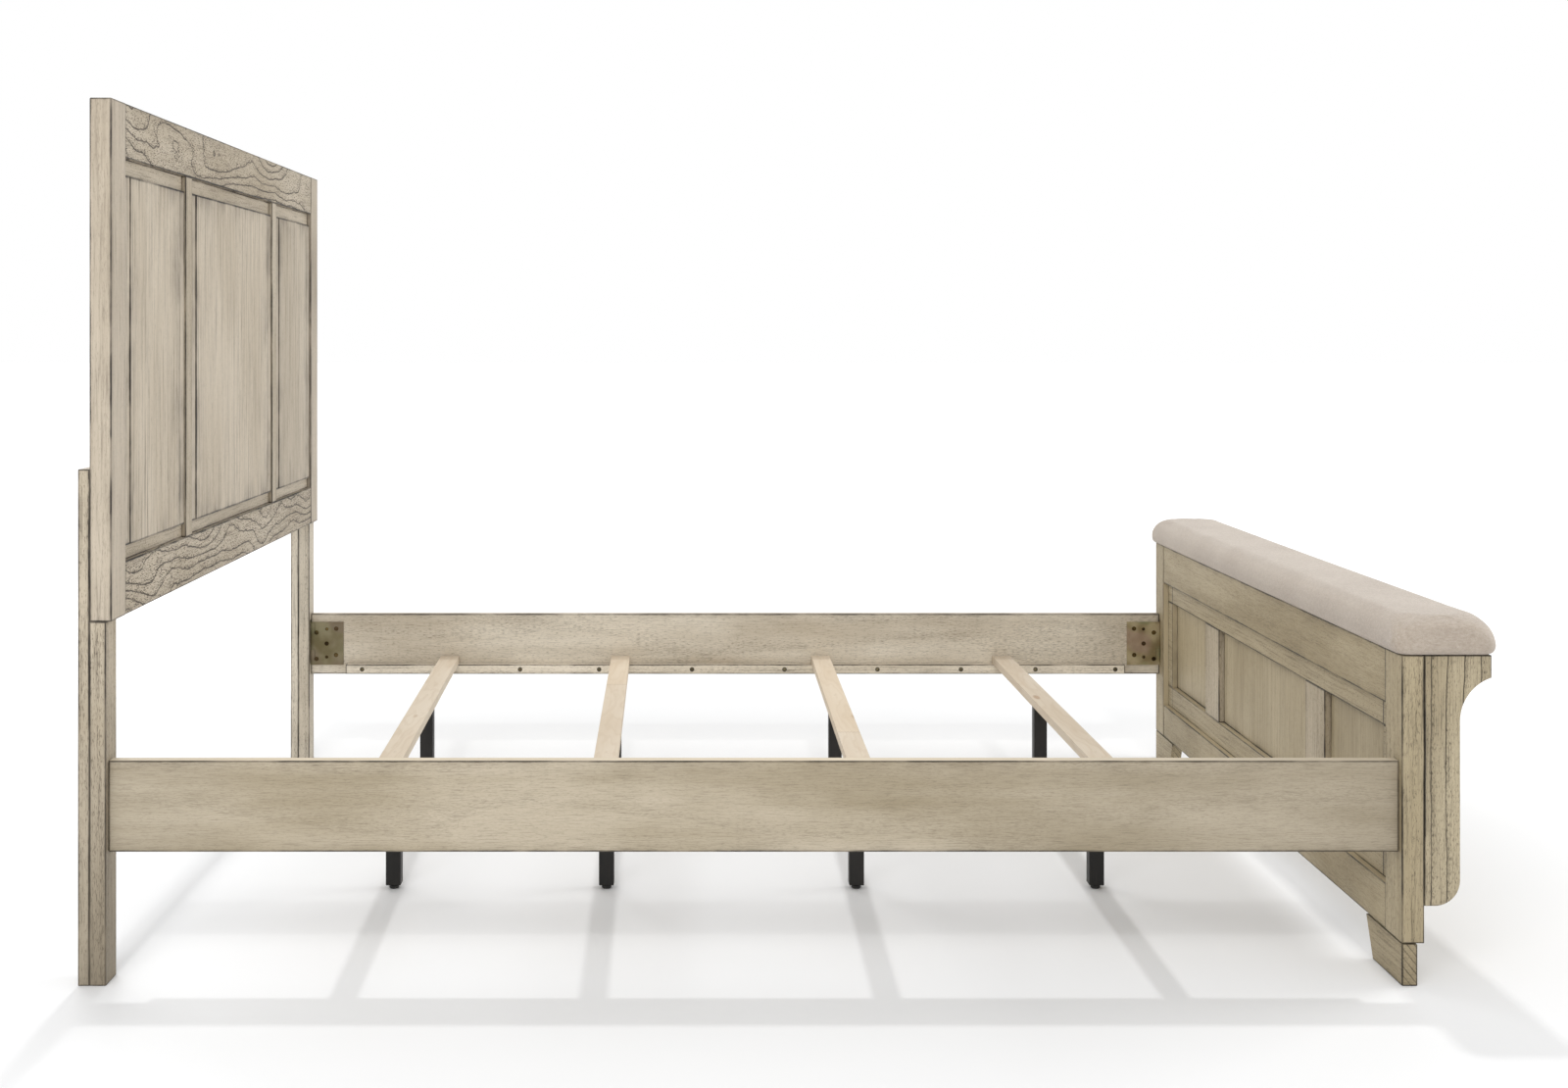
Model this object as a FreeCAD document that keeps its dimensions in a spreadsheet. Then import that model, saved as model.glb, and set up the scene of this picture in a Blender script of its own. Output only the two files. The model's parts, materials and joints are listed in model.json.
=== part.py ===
import FreeCAD, Part
import Sketcher
import os
import math

# Queen panel bed: headboard on bolted legs, two hook-on side rails with cleats,
# four cross slats on levelling support legs, and a panelled footboard with a
# padded top and two corbels.  Millimetres.  +X runs from head to foot, +Z up,
# the origin is under the middle of the bed on the floor.

os.makedirs("parts", exist_ok=True)
doc = FreeCAD.newDocument("bed_frame")

# ---------------------------------------------------------------- dimensions
DIMENSIONS = [
    ("half_width", 804.0),          # centre line to the outer side faces
    ("back_x", -1140.5),            # back of the rear leg boards
    ("leg_board_thick", 18.5),
    ("leg_block_thick", 26.5),
    ("leg_wide", 54.0),
    ("leg_board_high", 830.0),
    ("head_thick", 35.5),
    ("head_bottom", 585.0),
    ("head_top", 1427.5),
    ("head_stile_wide", 75.0),
    ("head_top_rail_bottom", 1338.0),
    ("head_bottom_rail_top", 673.0),
    ("head_panel_top", 1309.5),
    ("head_panel_bottom", 697.5),
    ("head_rail_setback", 0.8),
    ("head_mullion_setback", 1.2),
    ("head_panel_recess", 4.5),
    ("head_field_raise", 1.5),
    ("head_field_margin", 36.0),
    ("head_band_recess", 10.0),
    ("head_core_recess", 16.5),
    ("backer_thick", 6.0),
    ("mullion_centre", 345.0),      # both boards share this spacing
    ("head_mullion_wide", 41.0),
    ("rail_long", 2082.5),
    ("rail_inset", 12.0),
    ("rail_thick", 22.0),
    ("rail_bottom", 212.0),
    ("rail_top", 359.5),
    ("cleat_end_gap", 89.5),
    ("cleat_thick", 22.0),
    ("cleat_bottom", 216.0),
    ("cleat_top", 239.0),
    ("slat_wide", 45.0),
    ("slat_thick", 18.0),
    ("slat_clearance", 2.0),
    ("slat_one_x", -728.0),
    ("slat_two_x", -322.0),
    ("slat_three_x", 154.5),
    ("slat_four_x", 604.5),
    ("slat_one_turn", 1.9),
    ("slat_two_turn", 1.0),
    ("slat_three_turn", 0.0),
    ("slat_four_turn", 0.5),
    ("support_wide", 28.0),
    ("support_offset", 275.0),
    ("support_bottom", 8.0),
    ("foot_pad_radius", 9.25),
    ("foot_pad_high", 6.5),
    ("stud_radius", 4.0),
    ("stud_long", 38.0),
    ("stud_bore_radius", 4.4),
    ("stud_bore_deep", 44.0),
    ("insert_radius", 8.0),
    ("insert_deep", 12.0),
    ("foot_stile_thick", 36.0),
    ("foot_stile_wide", 73.0),
    ("foot_bottom", 68.5),
    ("foot_top", 531.0),
    ("foot_top_rail_bottom", 441.0),
    ("foot_bottom_rail_top", 144.0),
    ("foot_rail_setback", 0.8),
    ("foot_frame_recess", 12.0),
    ("foot_frame_upper_bottom", 396.5),
    ("foot_frame_lower_top", 193.0),
    ("foot_frame_end_wide", 40.0),
    ("foot_mullion_wide", 106.0),
    ("foot_panel_recess", 23.5),
    ("foot_core_recess", 29.5),
    ("foot_ledge_raise", 4.0),
    ("bracket_foot_thick", 25.0),
    ("bracket_foot_top_wide", 161.0),
    ("bracket_foot_floor_wide", 129.5),
    ("bracket_foot_gap", 1.5),
    ("corbel_gap", 0.8),
    ("corbel_wide", 45.0),
    ("corbel_deep", 57.0),
    ("corbel_flare", 107.5),
    ("corbel_bottom", 128.5),
    ("corbel_nose_bottom", 495.0),
    ("corbel_cove_bottom", 425.0),
    ("corbel_toe_radius", 41.0),
    ("cushion_front_x", 973.0),
    ("cushion_back_x", 1140.5),
    ("cushion_over", 9.0),
    ("cushion_top", 590.0),
    ("seat_board_front_x", 994.0),
    ("seat_board_back_x", 1122.0),
    ("seat_board_in", 12.0),
    ("seat_board_thick", 12.0),
    ("plate_long", 80.0),
    ("plate_high", 105.0),
    ("plate_thick", 2.5),
    ("plate_bottom", 235.0),
    ("hook_high", 26.0),
    ("hook_reach", 14.0),
    ("hook_upper_bottom", 312.0),
    ("hook_lower_bottom", 247.0),
    ("receiver_thick", 2.5),
    ("receiver_wide", 24.0),
    ("receiver_bottom", 238.0),
    ("receiver_high", 108.0),
    ("mortise_deep", 16.0),
    ("ease", 1.3),                  # small rounding on finished board edges
    ("ease_raw", 0.8),
    ("ease_heavy", 2.0),
]

sheet = doc.addObject("Spreadsheet::Sheet", "dims")
sheet.Label = "dims"
for row, (alias, number) in enumerate(DIMENSIONS, start=1):
    sheet.set("A%d" % row, alias)
    sheet.set("B%d" % row, str(number))
    sheet.setAlias("B%d" % row, alias)
doc.recompute()


class Size:
    """A length that carries both its sheet expression and its value."""

    def __init__(self, text, value):
        self.text = text
        self.value = value

    @staticmethod
    def of(other):
        if isinstance(other, Size):
            return other
        return Size("%s" % float(other), float(other))

    def __add__(self, other):
        o = Size.of(other)
        return Size("(%s + %s)" % (self.text, o.text), self.value + o.value)

    def __radd__(self, other):
        return Size.of(other) + self

    def __sub__(self, other):
        o = Size.of(other)
        return Size("(%s - %s)" % (self.text, o.text), self.value - o.value)

    def __rsub__(self, other):
        return Size.of(other) - self

    def __mul__(self, other):
        o = Size.of(other)
        return Size("(%s * %s)" % (self.text, o.text), self.value * o.value)

    def __rmul__(self, other):
        return Size.of(other) * self

    def __neg__(self):
        return Size("(0 - %s)" % self.text, -self.value)


class Dims:
    pass


D = Dims()
for alias, number in DIMENSIONS:
    setattr(D, alias, Size("dims.%s" % alias, number))


def bind(obj, path, size):
    obj.setExpression(path, Size.of(size).text)


def number(size):
    return Size.of(size).value


pieces = []


def plane(body, role):
    for feature in body.Origin.OriginFeatures:
        if feature.Role == role:
            return feature
    raise RuntimeError("no plane " + role)


def place(obj, x, y, z):
    bind(obj, "Placement.Base.x", x)
    bind(obj, "Placement.Base.y", y)
    bind(obj, "Placement.Base.z", z)


def polygon_sketch(body, name, role, points):
    """Closed outline through the points, each tied to the sheet."""
    sketch = body.newObject("Sketcher::SketchObject", name)
    sketch.AttachmentSupport = [(plane(body, role), "")]
    sketch.MapMode = "FlatFace"
    corner = [FreeCAD.Vector(number(p[0]), number(p[1]), 0) for p in points]
    total = len(corner)
    for i in range(total):
        sketch.addGeometry(Part.LineSegment(corner[i], corner[(i + 1) % total]), False)
    for i in range(total):
        sketch.addConstraint(Sketcher.Constraint("Coincident", i, 2, (i + 1) % total, 1))
    for i, (px, py) in enumerate(points):
        for kind, amount in (("DistanceX", px), ("DistanceY", py)):
            amount = Size.of(amount)
            if abs(amount.value) < 1e-9:
                other = "PointOnObject"
                axis = -2 if kind == "DistanceX" else -1
                sketch.addConstraint(Sketcher.Constraint(other, i, 1, axis))
                continue
            index = sketch.addConstraint(
                Sketcher.Constraint(kind, -1, 1, i, 1, amount.value))
            label = "%s%d" % ("px" if kind == "DistanceX" else "py", i)
            sketch.renameConstraint(index, label)
            sketch.setExpression("Constraints." + label, amount.text)
    return sketch


class Board:
    """One sawn piece: a rectangular pad, then eased edges, then any cuts."""

    def __init__(self, label, x, y, z, dx, dy, dz, ease=None, only=None):
        self.label = label
        self.body = doc.addObject("PartDesign::Body", label)
        self.body.Label = label
        place(self.body, x, y, z)
        dx, dy, dz = Size.of(dx), Size.of(dy), Size.of(dz)
        sketch = polygon_sketch(
            self.body, label + "_section", "XY_Plane",
            [(0, 0), (dx, 0), (dx, dy), (0, dy)])
        pad = self.body.newObject("PartDesign::Pad", label + "_pad")
        pad.Profile = sketch
        bind(pad, "Length", dz)
        sketch.Visibility = False
        self.body.Tip = pad
        self.count = 0
        doc.recompute()
        self.expected = dx.value * dy.value * dz.value
        if abs(pad.Shape.Volume - self.expected) > 1e-3 * self.expected:
            raise RuntimeError(label + ": pad volume is wrong")
        if ease is not None:
            self.round(ease, only)
        pieces.append(self.body)

    def round(self, radius, only=None):
        base = self.body.Tip
        names = []
        for i, edge in enumerate(base.Shape.Edges, start=1):
            middle = edge.BoundBox.Center
            if only is None or only(middle, edge):
                names.append("Edge%d" % i)
        self.count += 1
        fillet = self.body.newObject("PartDesign::Fillet", "%s_ease%d" % (self.label, self.count))
        fillet.Base = (base, names)
        bind(fillet, "Radius", radius)
        self.body.Tip = fillet
        doc.recompute()
        if not (0 < fillet.Shape.Volume < base.Shape.Volume):
            raise RuntimeError(self.label + ": easing removed nothing")

    def _primitive(self, kind, x, y, z, **sizes):
        before = self.body.Tip.Shape.Volume
        self.count += 1
        feature = self.body.newObject(kind, "%s_cut%d" % (self.label, self.count))
        for name, amount in sizes.items():
            if name == "rotation":
                continue
            bind(feature, name, amount)
        if "rotation" in sizes:
            feature.Placement = FreeCAD.Placement(
                FreeCAD.Vector(number(x), number(y), number(z)), sizes["rotation"])
        place(feature, x, y, z)
        self.body.Tip = feature
        doc.recompute()
        after = self.body.Tip.Shape.Volume
        if "Subtractive" in kind and not after < before - 1e-6:
            raise RuntimeError(self.label + ": a cut removed nothing")
        if "Additive" in kind and not after > before + 1e-6:
            raise RuntimeError(self.label + ": an addition added nothing")
        return feature

    def cut_box(self, x, y, z, dx, dy, dz):
        return self._primitive("PartDesign::SubtractiveBox", x, y, z,
                               Length=dx, Width=dy, Height=dz)

    def add_box(self, x, y, z, dx, dy, dz):
        return self._primitive("PartDesign::AdditiveBox", x, y, z,
                               Length=dx, Width=dy, Height=dz)

    def cut_cylinder(self, x, y, z, radius, height, rotation=None):
        sizes = {"Radius": radius, "Height": height}
        if rotation is not None:
            sizes["rotation"] = rotation
        return self._primitive("PartDesign::SubtractiveCylinder", x, y, z, **sizes)

    def cut_cone(self, x, y, z, r1, r2, height, rotation=None):
        sizes = {"Radius1": r1, "Radius2": r2, "Height": height}
        if rotation is not None:
            sizes["rotation"] = rotation
        return self._primitive("PartDesign::SubtractiveCone", x, y, z, **sizes)


def spanned(label, x0, x1, y0, y1, z0, z1, ease=None, only=None):
    x0, x1, y0, y1, z0, z1 = [Size.of(v) for v in (x0, x1, y0, y1, z0, z1)]
    return Board(label, x0, y0, z0, x1 - x0, y1 - y0, z1 - z0, ease, only)


def join(label, boards):
    """Keep matching separate pieces together in one node."""
    compound = doc.addObject("Part::Compound", label)
    compound.Label = label
    compound.Links = [board.body for board in boards]
    for board in boards:
        pieces.remove(board.body)
    doc.recompute()
    pieces.append(compound)
    return compound


SIDES = (("near", -1), ("far", 1))


def side_span(sign, inner, outer):
    """y limits between two distances from the centre line on one side."""
    if sign < 0:
        return -Size.of(outer), -Size.of(inner)
    return Size.of(inner), Size.of(outer)


TURN_X = FreeCAD.Rotation(FreeCAD.Vector(0, 1, 0), 90)      # cylinder axis to +X
TURN_BACK_X = FreeCAD.Rotation(FreeCAD.Vector(0, 1, 0), -90)
TURN_Y = FreeCAD.Rotation(FreeCAD.Vector(1, 0, 0), -90)     # cylinder axis to +Y
TURN_BACK_Y = FreeCAD.Rotation(FreeCAD.Vector(1, 0, 0), 90)

# ---------------------------------------------------------------- key planes
head_back = D.back_x + D.leg_board_thick
head_front = head_back + D.head_thick
rail_start = head_back + D.leg_block_thick
rail_end = rail_start + D.rail_long
foot_front = rail_end
foot_back = foot_front + D.foot_stile_thick
rail_outer = D.half_width - D.rail_inset
rail_inner = rail_outer - D.rail_thick
stile_inner = D.half_width - D.head_stile_wide
mullion_inner = D.mullion_centre - D.head_mullion_wide * 0.5
mullion_outer = D.mullion_centre + D.head_mullion_wide * 0.5

# ---------------------------------------------------------------- headboard
core_front = head_front - D.head_core_recess
core_back = core_front - D.backer_thick

for side, sign in SIDES:
    y0, y1 = side_span(sign, stile_inner, D.half_width)
    stile = spanned("headboard_%s_stile" % side, head_back, head_front, y0, y1,
                    D.head_bottom, D.head_top, D.ease_heavy)
    # groove that holds the edge of the thin backing board
    groove_y = D.head_stile_wide - 8.0 if sign < 0 else Size.of(-1.0)
    stile.cut_box(core_back - head_back - 0.1, groove_y,
                  D.head_bottom_rail_top - D.head_bottom - 8.2,
                  D.backer_thick + 0.2, 9.0,
                  D.head_top_rail_bottom - D.head_bottom_rail_top + 16.4)

for name, z0, z1 in (("top", D.head_top_rail_bottom, D.head_top),
                     ("bottom", D.head_bottom, D.head_bottom_rail_top)):
    rail = spanned("headboard_%s_rail" % name, head_back,
                   head_front - D.head_rail_setback, -stile_inner, stile_inner,
                   z0, z1, D.ease_heavy)
    if name == "top":
        groove_z = Size.of(-1.0)
    else:
        groove_z = z1 - z0 - 8.0
    rail.cut_box(core_back - head_back - 0.1, -1.0, groove_z,
                 D.backer_thick + 0.2, stile_inner * 2 + 2.0, 9.0)

spanned("headboard_backing_board", core_back, core_front,
        -(stile_inner + 7.0), stile_inner + 7.0,
        D.head_bottom_rail_top - 7.0, D.head_top_rail_bottom + 7.0, None)

mullions, battens = [], []
for side, sign in SIDES:
    y0, y1 = side_span(sign, mullion_inner, mullion_outer)
    mullions.append(spanned(
        "headboard_%s_mullion" % side, core_front,
        head_front - D.head_mullion_setback, y0, y1,
        D.head_bottom_rail_top, D.head_top_rail_bottom, D.ease))
    # flat batten behind each mullion, seen from the back
    battens.append(spanned(
        "headboard_%s_back_batten" % side, head_back + 1.0, core_back, y0, y1,
        D.head_bottom_rail_top, D.head_top_rail_bottom, D.ease_raw))
join("headboard_mullions", mullions)
join("headboard_back_battens", battens)

bays = (("near", -stile_inner, -mullion_outer),
        ("centre", -mullion_inner, mullion_inner),
        ("far", mullion_outer, stile_inner))
for name, y0, y1 in bays:
    panel = spanned("headboard_%s_panel" % name, core_front,
                    head_front - D.head_panel_recess, y0, y1,
                    D.head_panel_bottom, D.head_panel_top, D.ease_raw)
    # flat field, raised a little between the side margins
    panel.add_box(D.head_core_recess - D.head_panel_recess - 1.0, D.head_field_margin,
                  0.9, D.head_field_raise + 1.0,
                  y1 - y0 - D.head_field_margin * 2,
                  D.head_panel_top - D.head_panel_bottom - 1.8)


def strip_group(label, spans, x0, x1, z_pairs):
    """Separate strips of one moulding, kept as one compound node."""
    solids = []
    for z0, z1 in z_pairs:
        for y0, y1 in spans:
            box = Part.makeBox(number(x1) - number(x0), number(y1) - number(y0),
                               number(z1) - number(z0),
                               FreeCAD.Vector(number(x0), number(y0), number(z0)))
            solids.append(box)
    feature = doc.addObject("Part::Feature", label)
    feature.Label = label
    feature.Shape = Part.makeCompound(solids)
    pieces.append(feature)
    return feature


strip_group("headboard_inner_bands", [(y0, y1) for name, y0, y1 in bays],
            core_front, head_front - D.head_band_recess,
            [(D.head_bottom_rail_top, D.head_panel_bottom),
             (D.head_panel_top, D.head_top_rail_bottom)])

# legs: a front block under each stile and a taller board bolted behind both
receiver_top = D.receiver_bottom + D.receiver_high
plate_mid = rail_inner - D.plate_thick * 0.5


def receiver_cut(board, face_x, inward, y_low):
    """Shallow seat for the slotted plate and a mortise for the hooks."""
    centre = plate_mid if number(y_low) > 0 else -plate_mid
    seat_x = face_x if inward > 0 else face_x - D.receiver_thick
    deep_x = face_x if inward > 0 else face_x - D.mortise_deep
    margin = 0.2
    board.cut_box(seat_x - (margin if inward > 0 else 0.0),
                  centre - D.receiver_wide * 0.5 - y_low - 0.1,
                  D.receiver_bottom - 0.1,
                  D.receiver_thick + margin, D.receiver_wide + 0.2, D.receiver_high + 0.2)
    board.cut_box(deep_x, centre - 5.0 - y_low, D.receiver_bottom + 4.0,
                  D.mortise_deep, 10.0, D.receiver_high - 8.0)


for side, sign in SIDES:
    y0, y1 = side_span(sign, D.half_width - D.leg_wide, D.half_width)
    block = spanned("headboard_%s_leg_block" % side, head_back, rail_start, y0, y1,
                    0.0, D.head_bottom, D.ease)
    receiver_cut(block, D.leg_block_thick, -1, y0)
    board = spanned("headboard_%s_leg_board" % side, D.back_x, head_back, y0, y1,
                    0.0, D.leg_board_high, D.ease)
    y_hole = D.leg_wide * 0.5
    for z_hole in (120.0, 480.0, 640.0, 790.0):
        board.cut_cylinder(-1.0, y_hole, z_hole, 4.2, 30.0, TURN_X)
        board.cut_cylinder(-1.0, y_hole, z_hole, 8.2, 6.5, TURN_X)

# ---------------------------------------------------------------- side rails
for side, sign in SIDES:
    y0, y1 = side_span(sign, rail_inner, rail_outer)
    spanned("%s_side_rail" % side, rail_start, rail_end, y0, y1,
            D.rail_bottom, D.rail_top, D.ease_heavy)
    c0, c1 = side_span(sign, rail_inner - D.cleat_thick, rail_inner)
    spanned("%s_rail_cleat" % side, rail_start + D.cleat_end_gap,
            rail_end - D.cleat_end_gap, c0, c1, D.cleat_bottom, D.cleat_top, D.ease)

# hook brackets: a flat plate on the inner face of each rail end with two
# hooks that drop into the slotted plate let into the post
# hole table: distance from the rail end, height above the plate's bottom edge
SCREW_HOLES = ((14.0, 79.0), (62.5, 88.5), (39.0, 52.0), (62.0, 24.0), (14.0, 14.5))
RIVET_HOLES = ((39.5, 87.5), (39.0, 19.0))

for side, sign in SIDES:
    pair = []
    for end in ("head", "foot"):
        label = "%s_%s_hook_bracket" % (side, end)
        x0 = rail_start + 0.3 if end == "head" else rail_end - D.plate_long - 0.3
        y0, y1 = side_span(sign, rail_inner - D.plate_thick, rail_inner)
        plate = Board(label, x0, y0, D.plate_bottom, D.plate_long, D.plate_thick,
                      D.plate_high)
        for across, up in SCREW_HOLES:
            hole_x = Size.of(across) if end == "head" else D.plate_long - across
            # countersunk from the face that looks into the bed
            plate.cut_cylinder(hole_x, -1.0, up, 2.7, 5.0, TURN_Y)
            if sign > 0:
                plate.cut_cone(hole_x, 0.0, up, 5.0, 2.7, 2.3, TURN_Y)
            else:
                plate.cut_cone(hole_x, D.plate_thick, up, 5.0, 2.7, 2.3, TURN_BACK_Y)
        for across, up in RIVET_HOLES:
            hole_x = Size.of(across) if end == "head" else D.plate_long - across
            plate.cut_cylinder(hole_x, -1.0, up, 2.2, 5.0, TURN_Y)
        for z_hook in (D.hook_lower_bottom, D.hook_upper_bottom):
            low = z_hook - D.plate_bottom
            if end == "head":
                plate.add_box(-D.hook_reach, 0.0, low, D.hook_reach + 1.0,
                              D.plate_thick, D.hook_high)
                plate.cut_box(-(D.receiver_thick + 1.1), -0.5, low - 0.5,
                              D.receiver_thick + 0.8, D.plate_thick + 1.0, 9.0)
            else:
                plate.add_box(D.plate_long - 1.0, 0.0, low, D.hook_reach + 1.0,
                              D.plate_thick, D.hook_high)
                plate.cut_box(D.plate_long + 0.3, -0.5, low - 0.5,
                              D.receiver_thick + 0.8, D.plate_thick + 1.0, 9.0)
            # rolled ear where the hook leaves the plate, on the open side
            ear_x = 0.5 if end == "head" else D.plate_long - 9.5
            ear_y = -3.0 if sign > 0 else D.plate_thick - 0.5
            plate.add_box(ear_x, ear_y, low + 1.0, 9.0, 3.5, D.hook_high - 2.0)
        pair.append(plate)
    join("%s_rail_hook_brackets" % side, pair)

receivers = []
for side, sign in SIDES:
    for end in ("head", "foot"):
        label = "%s_%s_hook_receiver" % (side, end)
        centre = plate_mid * sign
        x0 = rail_start - D.receiver_thick if end == "head" else rail_end
        plate = Board(label, x0, centre - D.receiver_wide * 0.5, D.receiver_bottom,
                      D.receiver_thick, D.receiver_wide, D.receiver_high)
        for z_hook in (D.hook_lower_bottom, D.hook_upper_bottom):
            # slot: room for the hook to come in high and drop
            plate.cut_box(-1.0, D.receiver_wide * 0.5 - 2.0,
                          z_hook - D.receiver_bottom + 8.2,
                          5.0, 4.0, D.hook_high - 4.0)
        receivers.append(plate)
join("post_hook_receivers", receivers)

# ---------------------------------------------------------------- slats
SLATS = (("one", D.slat_one_x, D.slat_one_turn),
         ("two", D.slat_two_x, D.slat_two_turn),
         ("three", D.slat_three_x, D.slat_three_turn),
         ("four", D.slat_four_x, D.slat_four_turn))
slat_half = rail_inner - D.slat_clearance
slat_top = D.cleat_top + D.slat_thick


def turned(local_x, local_y, centre_x, angle):
    """A point fixed to a slat that is turned a little about its middle."""
    a = math.radians(angle)
    return (centre_x + local_x * math.cos(a) - local_y * math.sin(a),
            local_x * math.sin(a) + local_y * math.cos(a))


for name, centre_x, turn in SLATS:
    slat = Board("slat_%s" % name, 0, 0, 0, D.slat_wide, slat_half * 2, D.slat_thick,
                 D.ease_raw)
    # the slat turns about its own middle; the body sits at its corner
    body = slat.body
    body.setExpression("Placement.Rotation.Angle", turn.text)
    body.Placement = FreeCAD.Placement(
        FreeCAD.Vector(0, 0, 0), FreeCAD.Rotation(FreeCAD.Vector(0, 0, 1), turn.value))
    bind(body, "Placement.Base.x",
         Size("(%s - (%s) / 2 * cos(%s * 1 deg) + (%s) * sin(%s * 1 deg))"
              % (centre_x.text, D.slat_wide.text, turn.text, slat_half.text, turn.text),
              0))
    bind(body, "Placement.Base.y",
         Size("(0 - (%s) / 2 * sin(%s * 1 deg) - (%s) * cos(%s * 1 deg))"
              % (D.slat_wide.text, turn.text, slat_half.text, turn.text), 0))
    bind(body, "Placement.Base.z", D.cleat_top)
    # countersinks for the end screws and the leg screws
    ends = (number(slat_half) - (number(rail_inner) - 11.0),
            2 * number(slat_half) - (number(slat_half) - (number(rail_inner) - 11.0)))
    middles = (number(slat_half) - number(D.support_offset),
               number(slat_half) + number(D.support_offset))
    for y_hole in ends + middles:
        slat.cut_cylinder(D.slat_wide * 0.5, y_hole, -1.0, 2.6, 22.0)
        slat.cut_cone(D.slat_wide * 0.5, y_hole, D.slat_thick - 2.6, 2.6, 5.2, 2.61)

# support legs: square posts screwed up against the slats, each with a bore for
# the levelling stud and a seat for its threaded insert
for name, centre_x, turn in SLATS:
    pair = []
    for side, sign in SIDES:
        label = "slat_%s_%s_support_leg" % (name, side)
        cx, cy = turned(0.0, sign * number(D.support_offset),
                        number(centre_x), turn.value)
        half = D.support_wide * 0.5
        leg = Board(label, Size.of(cx) - half, Size.of(cy) - half, D.support_bottom,
                    D.support_wide, D.support_wide, D.cleat_top - D.support_bottom,
                    D.ease)
        leg.cut_cylinder(half, half, -1.0, D.stud_bore_radius, D.stud_bore_deep + 1.0)
        leg.cut_cylinder(half, half, -1.0, D.insert_radius, D.insert_deep + 1.0)
        pair.append(leg)
    join("slat_%s_support_legs" % name, pair)


# levelling feet: a round glide on a threaded stud, turned to raise or lower it
def leveller(label, cx, cy):
    body = doc.addObject("PartDesign::Body", label)
    body.Label = label
    place(body, cx, cy, 0)
    r, h_pad = D.foot_pad_radius, D.foot_pad_high
    sr = D.stud_radius
    top = h_pad + D.stud_long
    outline = [(0, 0), (r - 1.6, 0), (r, 1.6), (r, h_pad - 1.2), (r - 1.2, h_pad),
               (sr, h_pad), (sr, top - 1.0), (sr - 1.0, top), (0, top)]
    sketch = polygon_sketch(body, label + "_profile", "XZ_Plane", outline)
    spin = body.newObject("PartDesign::Revolution", label + "_turned")
    spin.Profile = sketch
    spin.ReferenceAxis = (sketch, ["V_Axis"])
    spin.Angle = 360
    sketch.Visibility = False
    body.Tip = spin
    doc.recompute()
    if spin.Shape.isNull() or spin.Shape.Volume < 1000:
        raise RuntimeError(label + ": turning failed")
    pieces.append(body)


for name, centre_x, turn in SLATS:
    for side, sign in SIDES:
        cx, cy = turned(0.0, sign * number(D.support_offset),
                        number(centre_x), turn.value)
        leveller("slat_%s_%s_leveller" % (name, side), Size.of(cx), Size.of(cy))

# threaded inserts in the leg ends
inserts = []
for name, centre_x, turn in SLATS:
    for sign in (-1, 1):
        cx, cy = turned(0.0, sign * number(D.support_offset),
                        number(centre_x), turn.value)
        z0 = number(D.support_bottom)
        base = FreeCAD.Vector(cx, cy, z0 + 0.2)
        ring = Part.makeCylinder(number(D.insert_radius), number(D.insert_deep) - 0.4, base)
        ring = ring.cut(Part.makeCylinder(number(D.stud_radius) + 0.25,
                                          number(D.insert_deep) + 2,
                                          FreeCAD.Vector(cx, cy, z0 - 1)))
        inserts.append(ring)
insert_node = doc.addObject("Part::Feature", "support_leg_inserts")
insert_node.Label = "support_leg_inserts"
insert_node.Shape = Part.makeCompound(inserts)
pieces.append(insert_node)


# ---------------------------------------------------------------- fasteners
def domed_screw(p, d, head_radius, head_deep, shank_radius, length):
    """A domed head with a small flat crown, turned in one profile with its shank."""
    crown = 0.7
    # the arc's centre lies on the axis, this far along the shank from the seat
    centre = (head_radius ** 2 - crown ** 2 - head_deep ** 2) / (2 * head_deep)
    turn_in = math.atan2(-head_deep - centre, crown)
    turn_out = math.atan2(-centre, head_radius)
    middle = (turn_in + turn_out) / 2
    V = FreeCAD.Vector
    radius = math.hypot(crown, head_deep + centre)
    start = V(crown, 0, -head_deep)
    end = V(head_radius, 0, 0)
    between = V(radius * math.cos(middle), 0, centre + radius * math.sin(middle))
    dome = Part.Arc(start, between, end).toShape()
    lines = [V(head_radius, 0, 0), V(shank_radius, 0, 0), V(shank_radius, 0, length),
             V(0, 0, length), V(0, 0, -head_deep), V(crown, 0, -head_deep)]
    edges = [dome] + [Part.LineSegment(a, b).toShape() for a, b in zip(lines, lines[1:])]
    face = Part.Face(Part.Wire(edges))
    solid = face.revolve(V(0, 0, 0), V(0, 0, 1), 360)
    solid.Placement = FreeCAD.Placement(p, FreeCAD.Rotation(V(0, 0, 1), d))
    return solid


def screw(point, direction, head_radius, head_deep, shank_radius, length, style="flat"):
    """A wood screw: its head sits at the point and the shank runs along direction."""
    d = FreeCAD.Vector(*direction)
    p = FreeCAD.Vector(*point)
    if style == "flat":
        head = Part.makeCone(head_radius, shank_radius, head_deep, p, d)
    elif style == "pan":
        return domed_screw(p, d, head_radius, head_deep, shank_radius, length)
    else:
        head = Part.makeCylinder(head_radius, head_deep, p - d * head_deep, d)
    shank = Part.makeCylinder(shank_radius, length, p, d)
    solid = head.fuse(shank).removeSplitter()
    if style == "flat":
        slot = Part.makeBox(head_radius * 1.1, 0.9, 0.9)
        slot.translate(FreeCAD.Vector(-head_radius * 0.55, -0.45, -0.02))
        other = slot.copy()
        other.rotate(FreeCAD.Vector(0, 0, 0), FreeCAD.Vector(0, 0, 1), 90)
        cross = slot.fuse(other)
        cross.Placement = FreeCAD.Placement(
            p, FreeCAD.Rotation(FreeCAD.Vector(0, 0, 1), d))
        solid = solid.cut(cross)
    return solid


def group(label, solids):
    feature = doc.addObject("Part::Feature", label)
    feature.Label = label
    feature.Shape = Part.makeCompound(solids)
    pieces.append(feature)


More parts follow.
